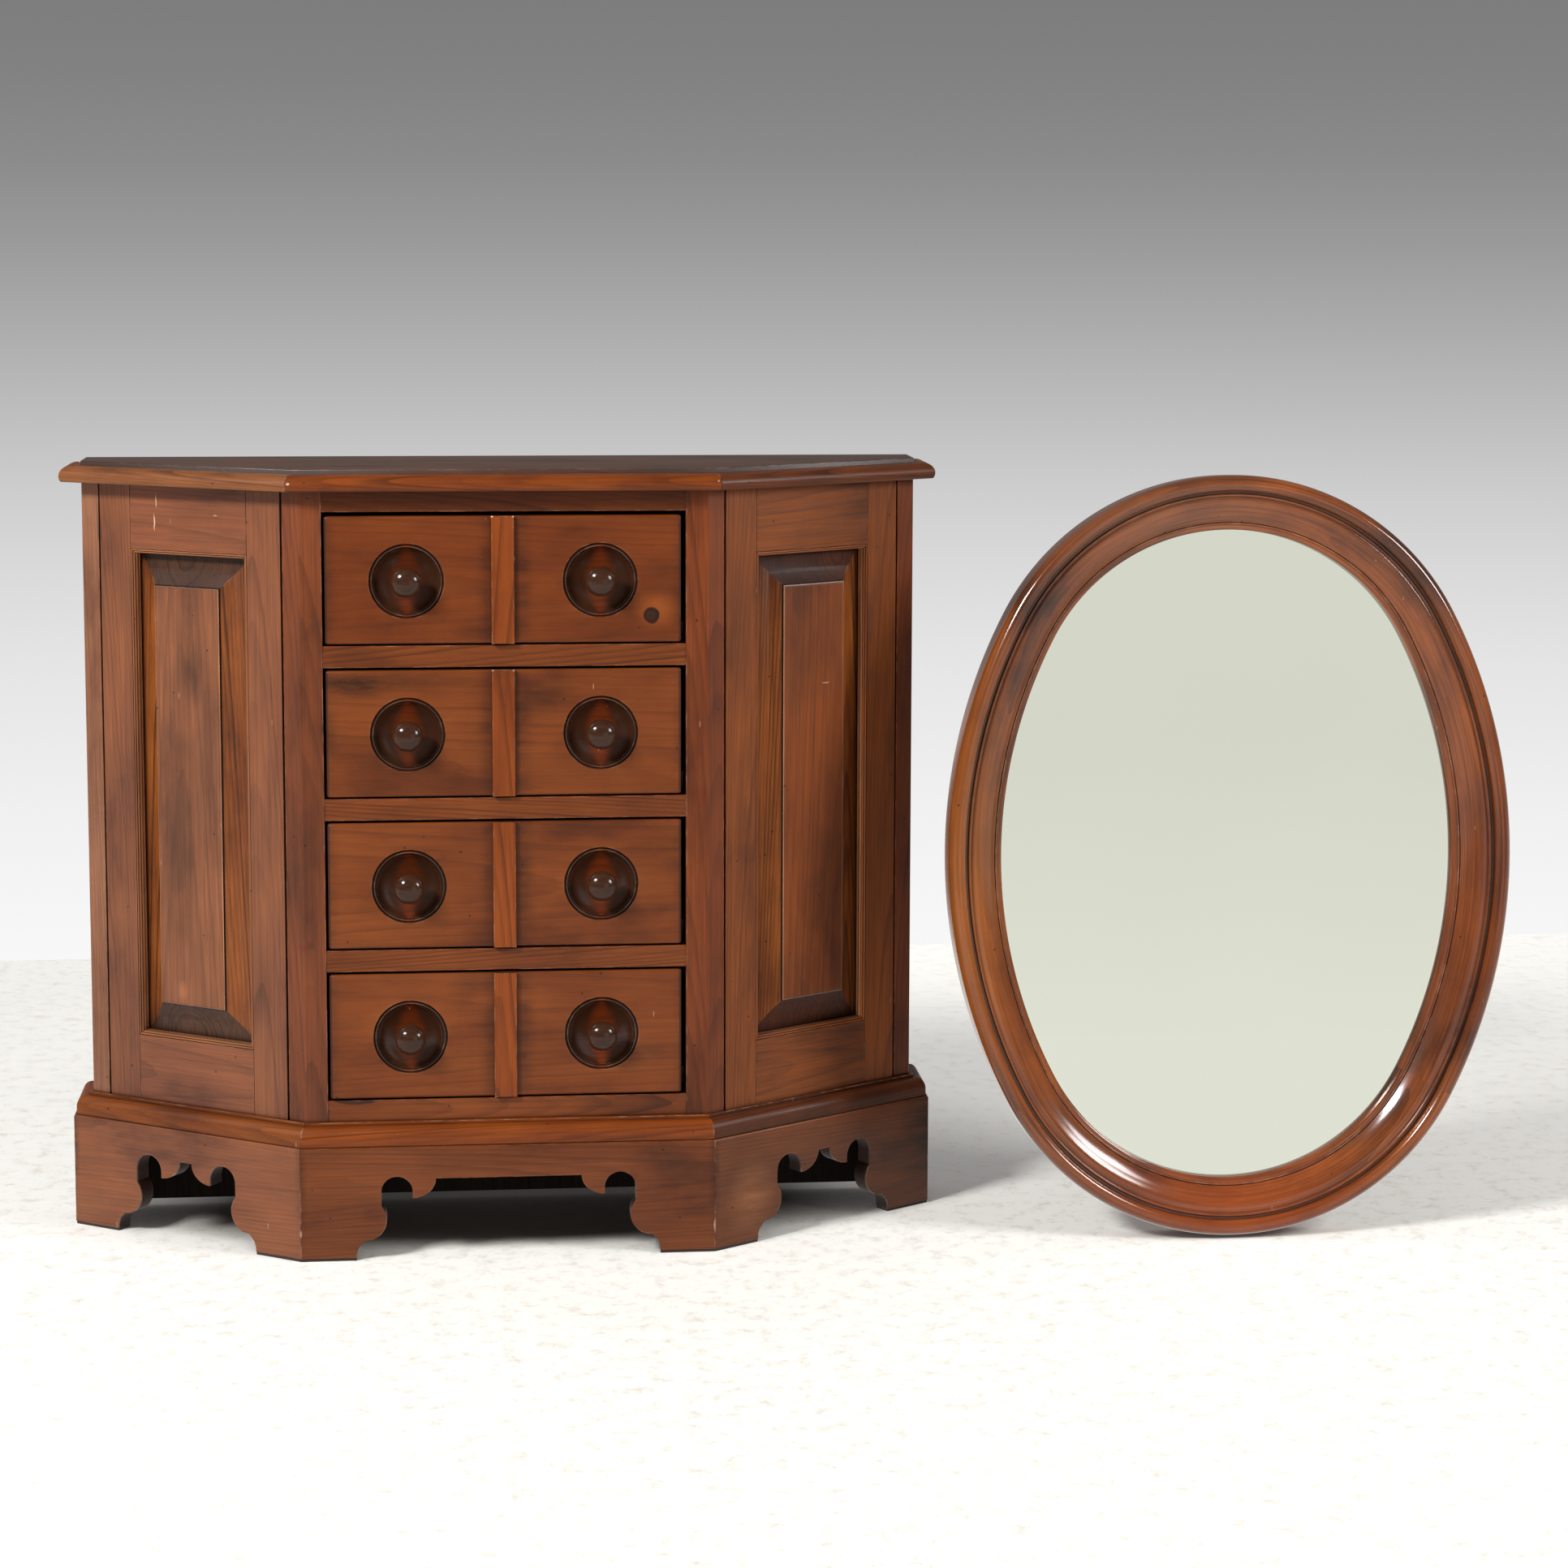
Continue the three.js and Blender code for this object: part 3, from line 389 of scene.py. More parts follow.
# A pale spot on the nosing at each front corner: a painted highlight where the mitred corner catches the
# light, and wear.
nose_marks = [
    mark(*left_nose, top_level - 13 * mm, 2.4, 2, 0.7, "#c8b4a4", 0.5, 2.4),
    mark(*right_nose, top_level - 12 * mm, 1.5, 1.5, 0.4, "#c8a88c", 0.5, 1.5),
]
print("marks by hand", sum(len(m) for m in front_marks.values()) + len(panel_marks))

# %% Finishes of the boards
for row in rows:
    tones = "#723510 #5c280a #381808" if row == 1 else "#7b3e16 #652f0f #381808"
    marks = beside_strip(row) + front_marks[row]
    stain(f"drawer_front_{row}", along_x, tones, 6, 0.17, 0.22, 0.4, waver_mm=32, by_hand=marks)
stain(
    "turned_dishes", along_x, "#64290f #4a200d #261108", 5, 0.25, 0.25, 0.3, waver_mm=14, ends=0.9,
    glaze=0.85, worn=0.35, rough=(0.12, 0.2), gloss=0.4, end_at=(0.01, 0.13), glaze_and_shade_mm=3,
)
stain(
    "filled_grooves", along_x, "#2e170d #24110a #160b07", 5, 0.2, 0.2, 0.2, waver_mm=14, ends=0.3,
    worn=0, rough=(0.2, 0.3),
)
stain(
    "drawer_strips", upright, "#8a4212 #74340d #431d08", 3.4, 0.35, 0.35, 0.35, by_hand=strip_marks
)
stain("rails", along_x, "#7c3f17 #673110 #38190a", 2.2, 0.5, 0.4, 0.3, by_hand=rail_marks)
# The top rail is stained darker than the other rails: painted shadow of the top's nosing.
stain("top_rail", along_x, "#66300f #52240b #2c1307", 2.2, 0.4, 0.4, 0.3)
stain("posts", upright, "#7c3c18 #652e10 #361709", 2.6, 0.3, 0.45, 0.45, by_hand=post_marks)
stain(
    "left_post", upright, "#7a3d1d #653013 #36190a", 2.6, 0.3, 0.45, 0.45, by_hand=post_marks,
    gloss=0.35,
)
# The left rear post is lighter and greyer than the other posts: painted sheen.
stain("rear_posts", upright, "#8f5e42 #764830 #3e2416", 2.6, 0.3, 0.4, 0.4, gloss=0.4)
# The left cant's tones are greyer than the right's: painted sheen from the bright wall on that side.
for side, word, shine, stiles, cant, beading, panel in (
    (-1, "left", 0.4, "#834c2d #6c3c24 #3a1f13", "#834a2c #6c3b23 #3c2014", "#925c3a #7a4a2e #4a2a19",
     "#8a5232 #6b3d24 #3a2014"),
    (1, "right", 0.25, "#8a4819 #713913 #391a0b", "#854519 #6c3612 #381b0b", "#8f4d22 #753c19 #40200f",
     "#85431a #633012 #34180a"),
):
    stain(
        f"stiles_{word}", upright, stiles, 2.6, 0.3, 0.5, 0.4, glaze=0.6, worn=0.12, gloss=shine
    )
    stain(
        f"cant_{word}", along_cant[side], cant, 3.6, 0.22, 0.45, 0.45, waver_mm=14, glaze=0.6,
        worn=0.3, by_hand=cant_marks[side], gloss=shine,
    )
    for lie, grain in (("upright", upright), ("across", along_cant[side])):
        stain(
            f"beads_{word}_{lie}", grain, beading, 2.6, 0.06, 0.2, 0.2, glaze=0.7, worn=0,
            glaze_and_shade_mm=1.6,
        )
    stain(
        f"fielded_panel_{word}", upright, panel, 4.0, 0.2, 0.5, 0.32, waver_mm=14, ends=0.2,
        by_hand=panel_marks, gloss=shine,
    )
# Painted light: the beads on the wall down to the panel stand in shade, so they are paler and more orange
# than the face beads.
stain(
    "rubbed_beads", upright, "#b8784a #9c6038 #5a2f17", 2.6, 0.2, 0.3, 0.2, glaze=0, worn=0,
    gloss=0.5,
)
# The arris round the panel's field is paler: wear, and a painted highlight along it.
stain(
    "worn_arris", upright, "#a87350 #8a5836 #4a2817", 2.6, 0.2, 0.3, 0.3, glaze=0.2, worn=0.3,
    gloss=0.5,
)
# The left end-grain bevels are greyer than the right ones: painted sheen.
for word, shine, tones, rough, end_shine in (
    ("left", 0.3, "#5c3a28 #422a1d #20120c", (0.26, 0.4), 0.25),
    ("right", 0.12, "#5a2c18 #401e10 #20120c", (0.34, 0.46), 0.12),
):
    stain(
        f"long_bevels_{word}", upright, "#945120 #683311 #241107", 3.2, 0.55, 0.55, 0.5, ends=0.2,
        glaze=0.8, glaze_and_shade_mm=16, gloss=shine,
    )
    stain(
        f"end_grain_bevels_{word}", upright, tones, 3.0, 0.4, 0.6, 0.4, waver_mm=14, ends=0.3,
        rough=rough, gloss=end_shine, glaze_and_shade_mm=14,
    )
stain(
    "top_board", along_x, "#5a3a2b #493024 #281812", 4.5, 0.3, 0.5, 0.4, waver_mm=14,
    rough=(0.36, 0.5), gloss=0.5,
)
# The left_top nosing is lighter and greyer, as painted sheen, and the right lengths are darker, as painted
# shade.
for name, grain, tones in (
    ("front", along_x, "#87400f #6c300b #351706"),
    ("flank", along_y, "#8a4416 #713310 #3c1b09"),
    ("left", along_cant[-1], "#834416 #6a3311 #36190a"),
    ("left_top", along_cant[-1], "#90582f #744325 #3a1f10"),
    ("right", along_cant[1], "#693312 #4f240c #281208"),
):
    stain(f"moulding_{name}", grain, tones, 2.6, 0.45, 0.45, 0.4, by_hand=nose_marks)
print("finishes", len(bpy.data.materials))

# %% [markdown]
# ## Knobs, glass, bare pine and felt
# The knobs are turned hardwood, stained nearly black and polished, so they show the lamps as small
# bright shapes. The glass is silvered on its back; a mirror is close to a perfect metal with the
# faint green of window glass. Drawer boxes and dust boards were never stained: bare pine is pale,
# dull and dry, with its rings showing faintly. The back got a thin coat of dark brown water stain.
# The inside face of the back is painted near black, as painted shade.

# %% Turned knobs
knob_finish, shader, node, spot = new_finish("polished_dark_hardwood")
turned_grain = node("Mapping", spot, Scale=(60, 300, 300))
figure = node("TexNoise", turned_grain, Scale=1, Detail=3)
dark_wood = node("Mix", figure, "#24120b", "#442818", **rgba)
polish = node("MapRange", figure, 0.3, 0.7, 0.12, 0.2)
pores = node("Bump", Strength=0.12, Distance=0.1 * mm, Height=figure)
fill(shader, Base_Color=dark_wood, Roughness=polish, Normal=pores, IOR=1.5, Specular_IOR_Level=0.3)

# %% Silvered glass
glass_finish, shader, node, spot = new_finish("silvered_mirror_glass")
film = node("TexNoise", spot, Scale=5, Detail=5)
dusty = node("MapRange", film, 0.3, 0.7, 0.015, 0.05)
silver = node("Mix", film, "#e3e6da", "#dfe2d6", **rgba)
fill(shader, Base_Color=silver, Roughness=dusty, Metallic=1)


# %% Bare pine
def plain_pine(name, grain, ring, tones, gloss=0.5):
    """Pine with no lacquer: dull, with soft rings and fibre. Its tones are of early wood, fibre and
    late wood."""
    early, fibre_tone, late_tone = tones.split()
    finish, shader, node, spot = new_finish(name)
    heart = node("Attribute", attribute_type="OBJECT", attribute_name="heart").outputs["Vector"]
    from_heart = node("VectorMath.SUBTRACT", spot, heart)
    # Turned first and stretched after, because one Mapping node would stretch before it turns.
    turned = node("Mapping", from_heart, Rotation=grain)
    board = node("Mapping", turned, Scale=(0.12, 1, 1))
    # A wave of scale 1 has a period of 314 mm.
    rings = node(
        "TexWave", board, 314 / ring, wave_type="RINGS", rings_direction="X", wave_profile="SAW",
        Distortion=5, Detail=2, Detail_Scale=0.06,
    )
    fine = node("Mapping", board, Scale=(60, 450, 450))
    fibre = node("TexNoise", fine, Scale=1, Detail=3)
    colour = node("Mix", fibre, early, fibre_tone, **rgba)
    late = node("MapRange", rings.outputs[1], 0.4, 1, 0, 0.45)
    colour = node("Mix", late, colour, late_tone, **rgba)
    dry = node("MapRange", fibre, 0.3, 0.7, 0.68, 0.85)
    relief = node("Bump", Strength=0.3, Distance=0.3 * mm, Height=fibre)
    fill(shader, Base_Color=colour, Roughness=dry, Normal=relief, IOR=1.5, Specular_IOR_Level=gloss)
    return finish


box_pine = plain_pine("bare_pine_boxes_and_shelves", along_x, 5, "#c9a878 #b08c5c #8d6437")
back_pine = plain_pine("brown_washed_pine_back", upright, 7, "#7a5638 #604127 #3c2616")
# The inside of the back is painted near black: painted shade, standing for the dark inside of the chest.
shade_black_pine = plain_pine("sooty_pine_inside_the_back", upright, 7, "#1a110c #140d09 #0d0805", 0.1)

# %% Felt under the feet
felt, shader, node, spot = new_finish("pressed_dark_felt")
fuzz = node("TexNoise", spot, Scale=900, Detail=2)
wool = node("Mix", fuzz, "#1a120e", "#332620", **rgba)
nap = node("Bump", Strength=0.6, Distance=0.4 * mm, Height=fuzz)
fill(shader, Base_Color=wool, Normal=nap, Roughness=0.9, Sheen_Weight=0.3)
print("finishes", len(bpy.data.materials))

# %% [markdown]
# ## Making a piece from rings
# A moulding is one section carried along a path. Its mesh is a row of rings, each ring the same
# section at one station, with quads between them and a flat cap at both ends. The same helper turns
# a knob when the rings are circles. Faces are smooth except where they meet at more than 28 degrees,
# so a curve shades round and a mitre stays crisp.


# %% Rings to a mesh
def skin(rings, loop=False):
    """Vertices and faces of a skin through rings of matching points, capped unless it loops."""
    size = len(rings[0])
    points = [tuple(p) for ring in rings for p in ring]
    faces = []
    for k in range(len(rings) if loop else len(rings) - 1):
        here, there = k * size, (k + 1) % len(rings) * size
        faces += [
            (here + i, here + (i + 1) % size, there + (i + 1) % size, there + i) for i in range(size)
        ]
    if not loop:
        faces.append(tuple(reversed(range(size))))
        faces.append(tuple(range(len(points) - size, len(points))))
    return points, faces


def prism(plan, low, high):
    """An upright prism on a plan of corners."""
    return skin([[(x, y, z) for x, y in plan] for z in (low, high)])


def show(name, data):
    """Puts an object with this mesh, lamp or camera in the scene."""
    shown = bpy.data.objects.new(name, data)
    bpy.context.scene.collection.objects.link(shown)
    return shown


def place(name, mesh, finishes, node, slot_name, body="carcase", sharp=28):
    """Puts a mesh in the scene as a piece that rides its body and stands for its CAD node."""
    mesh.shade_smooth()
    mesh.set_sharp_from_angle(angle=radians(sharp))
    for finish in finishes:
        mesh.materials.append(finish)
    piece = show(name, mesh)
    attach(piece, body)
    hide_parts(node)
    from_log(piece)
    return piece


def done(work, name):
    """The mesh that bmesh work leaves, its faces turned outward."""
    bmesh.ops.recalc_face_normals(work, faces=work.faces)
    mesh = bpy.data.meshes.new(name)
    work.to_mesh(mesh)
    work.free()
    return mesh


def make(name, skins, *rest, **more):
    """Builds a piece from its skins and places it, with the rest of what place takes."""
    work = bmesh.new()
    for points, faces in skins:
        placed = [work.verts.new(p) for p in points]
        for face in faces:
            work.faces.new([placed[i] for i in face])
        bmesh.ops.remove_doubles(work, verts=placed, dist=touching)
    return place(name, done(work, name), *rest, **more)


def ease(piece, width, steps=2, limit=35):
    """Rounds a piece's sharp edges a little, as sanding does."""
    rounding = piece.modifiers.new("eased edges", "BEVEL")
    rounding.width = width
    rounding.segments = steps
    rounding.limit_method = "ANGLE"
    rounding.angle_limit = radians(limit)
    rounding.harden_normals = False
    return rounding


def quarter(start, end, steps, level_first):
    """Points of a quarter ellipse after its start; it leaves level, or else upright."""
    points = []
    for i in range(1, steps + 1):
        turn = i / steps * pi / 2
        early, late = sin(turn), 1 - cos(turn)
        across, down = (early, late) if level_first else (late, early)
        points.append((start[0] + (end[0] - start[0]) * across, start[1] + (end[1] - start[1]) * down))
    return points


def arc(x, z, radius, start, end, steps):
    """Points of an arc in millimetres, from a start angle to an end angle in radians."""
    angles = [start + (end - start) * i / steps for i in range(steps + 1)]
    return [(x + radius * cos(a), z + radius * sin(a)) for a in angles]


def run(profile, stations):
    """A profile of distance out and height, in millimetres, run from one station to the next."""
    rings = [[(*station(out * mm), height * mm) for out, height in profile] for station in stations]
    return skin(rings)


# %% [markdown]
# ## Boards that keep their solid
# Posts, rails, drawer boxes, shelves and the back are plain boards, right as they are. They get a
# finish, a weld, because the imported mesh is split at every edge, and a fine rounding of the edges.
# Weighted normals keep the broad faces flat next to that rounding.


# %% Dress the plain boards
def dress(name, finish, width=0):
    """Finish and eased edges for a board that keeps its solid."""
    board = nodes[name]
    board.material_slots[0].material = finish
    board.modifiers.new("weld", "WELD").merge_threshold = 0.01 * mm
    if width:
        ease(board, width)
    board.modifiers.new("flat faces", "WEIGHTED_NORMAL").keep_sharp = True
    from_log(board)


for word, front, rear in (("left", "left_post", "rear_posts"), ("right", "posts", "posts")):
    dress(f"front_post_{word}", pine[front])
    dress(f"rear_post_{word}", pine[rear])
    dress(f"plinth_return_{word}", pine["cant_right"], 0.5 * mm)
    for end in ("front", "rear"):
        dress(f"pad_{end}_{word}", felt)
for name in ("bottom_rail", "drawer_rail_1", "drawer_rail_2", "drawer_rail_3"):
    dress(name, pine["rails"])
dress("top_rail", pine["top_rail"])
for row in rows:
    dress(f"dust_board_{row}", box_pine, 0.4 * mm)
    dress(f"drawer_{row}_box", box_pine, 0.4 * mm)
    dress(f"drawer_{row}_strip", pine["drawer_strips"], 0.9 * mm)
dress("mirror_backboard", back_pine)
dress("mirror_glass", glass_finish)
print("dressed", sum(bool(n.modifiers) for n in nodes.values()), "solids")

# %% [markdown]
# ## The top
# The top is a flat board with a nosing mitred round it: a small quirk, a shallow hollow, then a bold
# ovolo. Each length of nosing is its own stick of wood, so its grain turns with it at the mitres.
# Running one section along the plan, with the stations on the mitre lines, makes the corners meet.

# %% Top board
# How far the flat field stands out over the front, the cants and the short sides, in millimetres.
field = (-1.8, 1.8, 0.4)


def field_plan(out):
    """The top's plan at a distance outside the edge of its flat field."""
    front, cant, flank = ((edge + out) * mm for edge in field)
    left, right = (
        [front_corner(front, cant, side), side_corner(cant, flank, side), back_end(flank, side)]
        for side, _ in sides
    )
    return right + left[::-1]


top_rings = [
    [(*corner, top_level - drop * mm) for corner in field_plan(out)]
    for out, drop in [(-0.8, 0), *quarter((-0.8, 0), (0, 0.8), 3, True), (0, 21.5)]
]
make("top_field_board", [skin(top_rings)], [pine["top_board"]], "top", "dark_pine", sharp=40)

# %% Nosing round the top
nosing = [(0.15, 4.9), (1.5, 5.6), *quarter((1.5, 5.6), (7.8, 5.0), 5, True), (8.6, 4.75), (9.0, 4.7)]
nosing += quarter((9.0, 4.7), (21.8, 15.1), 16, True)
nosing += [*quarter((21.8, 15.1), (18.6, 21.6), 8, False), (0.15, 21.6)]
nosing = [(out, top_level / mm - drop) for out, drop in nosing]
for word, stations in sticks(*(edge * mm for edge in field)):
    finish = pine["moulding_left_top" if word == "left" else "moulding_" + word.split("_")[0]]
    make(f"top_nosing_{word}", [run(nosing, stations)], [finish], "top", "dark_pine")
print("nosing points", len(nosing))

# %% [markdown]
# ## The base moulding
# It stands on the plinth and hides its top edge: a fillet against the carcase, a small step and an
# ovolo above a plain lower edge. It is run like the nosing, one stick for each face.

# %% Base moulding
low, high = plinth_top / mm, moulding_top / mm
base = [(0.3, low + 0.05), (0.3, high - 0.4), (0.7, high), (4.2, high), (4.6, high - 0.4)]
base += [(4.6, high - 3.4), (7.8, high - 3.4)]
base += quarter((7.8, high - 3.4), (17.4, high - 14.5), 14, True)
base += [(17.4, low + 0.6), (16.9, low + 0.05)]
for word, stations in sticks(0, 0, 0):
    finish, node = pine["moulding_" + word.split("_")[0]], "base_moulding_" + word.split("_")[-1]
    make(f"base_stick_{word}", [run(base, stations)], [finish], node, "moulding_pine")
print("base moulding points", len(base))

# %% [markdown]
# ## The scrolled plinth
# Each plinth board is sawn to a scroll: a stepped foot, a round lobe, a keyhole, a cusp and a hollow
# up to the apron, the same in mirror image at the other end. The outline is drawn with true arcs and
# skinned from the front of the board to its back, with the ends drawn in to form the mitres. A
# boolean cut would give the same shape but leave slivers where the arcs meet the board's edge.


# %% Scroll outline
def half_scroll():
    """From the foot to the middle: distance from the mitred corner and height above the foot."""
    lobe, keyhole = (66.9, 40, 22), (99.5, 69.6, 16.2)
    neck = keyhole[0] - keyhole[2]
    cusp = (keyhole[0] + keyhole[2], 62.5)
    points = [(57.3, 0), (57.8, 6), (59.6, 11), (64.5, 16.4)]
    points += arc(*lobe, -pi / 2, acos((neck - lobe[0]) / lobe[2]), 18)
    points += arc(*keyhole, pi, 0, 22)
    return points + [cusp, *quarter(cusp, (139.9, 83), 10, True)]


def scroll_board(word, start, end, mitres, slot_name):
    """A board from one outer corner of the plan to the next, its ends mitred by these slopes."""
    along = (end - start).normalized()
    inward = Vector((-along.y, along.x))
    if inward.dot(home + Vector((0, 0.1)) - start) < 0:
        inward = -inward
    length = (end - start).length / mm
    height = (plinth_top - foot_level) / mm
    half = half_scroll()
    scroll = half + [(length - u, z) for u, z in reversed(half)]
    rings = []
    for deep, drop in [(0, 2.2), (0.2, 1.2), (0.6, 0.5), (1.3, 0.1), (2.2, 0), (20, 0)]:
        near, far = mitres[0] * deep, length - mitres[1] * deep
        outline = [(near, 0), *scroll, (far, 0), (far, height - drop), (near, height - drop)]
        back = inward * (deep * mm)
        rings.append([(*(start + along * (u * mm) + back), foot_level + z * mm) for u, z in outline])
    finishes = [pine[f"plinth_{word}"], pine["sawn_edges"]]
    board = make(f"scroll_board_{word}", [skin(rings)], finishes, f"plinth_{word}", slot_name)
    # Between the last two rings lie the sawn edges of the scroll, which drank the stain.
    first = (len(rings) - 2) * len(rings[0])
    for i in range(1, len(scroll)):
        board.data.polygons[first + i].material_index = 1
    ease(board, 0.7 * mm, limit=50)


stain(
    "sawn_edges", along_x, "#2e180d #241209 #150a05", 3.4, 0.3, 0.4, 0.3, waver_mm=14, ends=0.4,
    worn=0.3, gloss=0.15, rough=(0.5, 0.7),
)

# %% Three scrolled boards
plinth_out = 20.3 * mm
front_slope = tan(cant_angle / 2)
rear_slope = tan(pi / 4 - cant_angle / 2)
near_corner = {side: front_corner(plinth_out, plinth_out, side) for side, _ in sides}
far_corner = {side: side_corner(plinth_out, plinth_out, side) for side, _ in sides}
# The mitred corners are burnished dark and chipped at the foot, and the feet show pale figure.
corner_marks = [
    mark(*corner[side], 0.085, 9, 90, 0.6, "#2a150c", 1, 9)
    for side, _ in sides
    for corner in (near_corner, far_corner)
]
corner_marks += [
    mark(*near_corner[side], 0.03, 1.6, tall, 0.5, "#c9a88a", 0.6, 1.6)
    for side, tall in ((-1, 5), (1, 10))
]
left_marks = [mark(-0.7389, 0.0564, 0.022, 50, 22, 0.4, "#a06a40", 1, 45)]
# The left foot is also darker low down.
left_marks += [mark(-0.715, 0.04, 0.03, 90, 50, 0.22)]
right_marks = [mark(-0.0575, -0.068, 0.05, 45, 60, 0.65, "#a06c46", 1, 45)]
# Painted shade: a dark patch at the far corner of the right plinth.
right_marks += [mark(*far_corner[1], 0.09, 80, 120, 0.7)]
# The left plinth's tones are greyer than the others, as painted sheen.
for word, grain, tones, extra, shine in (
    ("front", along_x, "#753d1c #5e2e13 #381b0c", [], 0.25),
    ("left", along_cant[-1], "#8a4f2e #703e25 #3c2015", left_marks, 0.4),
    ("right", along_cant[1], "#703c1e #572f19 #301a0f", right_marks, 0.25),
):
    stain(
        f"plinth_{word}", grain, tones, 3.4, 0.25, 0.4, 0.5, by_hand=corner_marks + extra, gloss=shine,
        waver_mm=20, worn=0.45,
    )
scroll_board("front", near_corner[-1], near_corner[1], (front_slope, front_slope), "stained_pine")
for side, word in sides:
    near, far = near_corner[side] + cant_step[side], far_corner[side] - cant_step[side]
    scroll_board(word, near, far, (front_slope, rear_slope), "cant_pine")
print("front board", (near_corner[1] - near_corner[-1]).length, "long")

# %% [markdown]
# ## The back
# The back of such a chest is cheap matched boarding: upright boards with a small V between them,
# washed brown outside. Inside they are painted near black, as painted shade. It stands in the place
# of one flat panel.

# %% Matched back boards
low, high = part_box("back_panel")
count, depth, width = 8, 1.8 * mm, 2.2 * mm
for k in range(count):
    x0, x1 = (low.x + (high.x - low.x) * (k + end) / count for end in (0, 1))
    plan = [(x0, low.y), (x1, low.y), (x1, high.y - depth), (x1 - width, high.y)]
    plan += [(x0 + width, high.y), (x0, high.y - depth)]
    skins = [prism(plan, low.z, high.z)]
    board = make(f"back_board_{k + 1}", skins, [back_pine, shade_black_pine], "back_panel", "raw_pine")
    # The inside face gets the near-black painted shade.
    board.data.polygons[0].material_index = 1
print("back boards", count, "each", (high.x - low.x) / count, "wide")

# %% [markdown]
# ## Framed panels on the cants
# Two stiles and two rails hold a raised and fielded panel. The inner edges of the frame carry two
# fine beads, mitred at the corners. The panel is one board whose four edges are bevelled in a soft
# hollow: along the grain the bevels show long streaks, and across it they are dark end grain.
# Everything is drawn in the cant's own frame, with x along the face and y going into it.


# %% Frames and beads
def bead_section():
    """Section of the beaded edge: distance outside the sight line and depth in millimetres, and the
    finish of the face that starts there: 0 frame, 1 bead, 2 dark quirk, 3 a bead painted paler, as
    painted light on the shaded wall. Two beads lie on the face and two, the paler ones, on the wall
    that goes down to the panel."""
    points = [(5.3, 0, 0), (5.0, 0, 2), (4.65, 1.2, 2)]
    points += [(x, 2.0 - 0.95 * z, 1) for x, z in arc(3.75, 1.35, 0.9, radians(10), radians(170), 7)]
    points += [(2.8, 1.9, 2)]
    points += [(x, 2.75 - z, 1) for x, z in arc(1.75, 0.75, 0.95, radians(15), radians(165), 7)]
    points += [(0.7, 2.9, 2), (0.9, 3.4, 2)]
    for deep, radius in ((5.6, 2.0), (9.4, 1.3)):
        turns = [-1.3 + 2.6 * i / 8 for i in range(9)]
        points += [(1.0 - 0.9 * cos(a), deep + radius * sin(a), 3) for a in turns]
        points += [(1.5, deep + radius + 0.1, 2)]
    return points + [(0.6, 11.3, 2), (0.6, 12, 0), (5.3, 12, 0)]


def beads(length, short, turn, at):
    """A mitred length of beaded edge, its sight line along x, turned about y and moved to its place."""

    def at_end(end, out, deep):
        return end * (length / 2 + (min(out, 5) - short) * mm), deep * mm, out * mm

    points, faces = skin([[at_end(end, *p[:2]) for p in bead_section()] for end in (-1, 1)])
    spin = Matrix.Translation(at) @ Matrix.Rotation(turn, 4, "Y")
    return [tuple(spin @ Vector(p)) for p in points], faces


# %% Stiles, rails and panels
# How much of the cant each post takes, and the open joint beside it, in millimetres.
front_post, front_joint, rear_post, rear_joint = 21, 2.3, 22, 2.1
stile_start = (front_post + front_joint) * mm
stile_end = cant_length - (rear_post + rear_joint) * mm
# The front stile of the left cant is a little wider, and its panel sits a little further back.
front_stile_wide = {-1: 47 * mm, 1: 45 * mm}
rear_stile_wide, rail_low_tall, rail_high_tall = 44.5 * mm, 74.3 * mm, 73.4 * mm
rear_bevel = {-1: 0.74, 1: 0.82}
rear_sight = stile_end - rear_stile_wide
sight_low, sight_high = moulding_top + rail_low_tall, carcase_top - rail_high_tall
sight_tall, sight_level = sight_high - sight_low, (sight_low + sight_high) / 2
board_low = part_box("left_front_stile")[0].z
frame_thick, bead_wide, rail_gap = 22 * mm, 5 * mm, 0.45 * mm
# Inset from the sight line and depth of each ring of the panel, in millimetres: its flat field, the
# rounded arris and the groove round it, the hollow bevel, and the edge that the frame hides.
panel_levels = [(36, 1.2), (33.7, 1.2), (32.7, 1.6), (32.3, 3.2), (31.5, 3.6)]
panel_levels += [(31.5 - 31.2 * i / 14, 3.6 + 8.7 * (1 - (1 - i / 14) ** 1.8)) for i in range(1, 15)]
panel_levels += [(-4.7, 12.3), (-4.7, 17.8)]

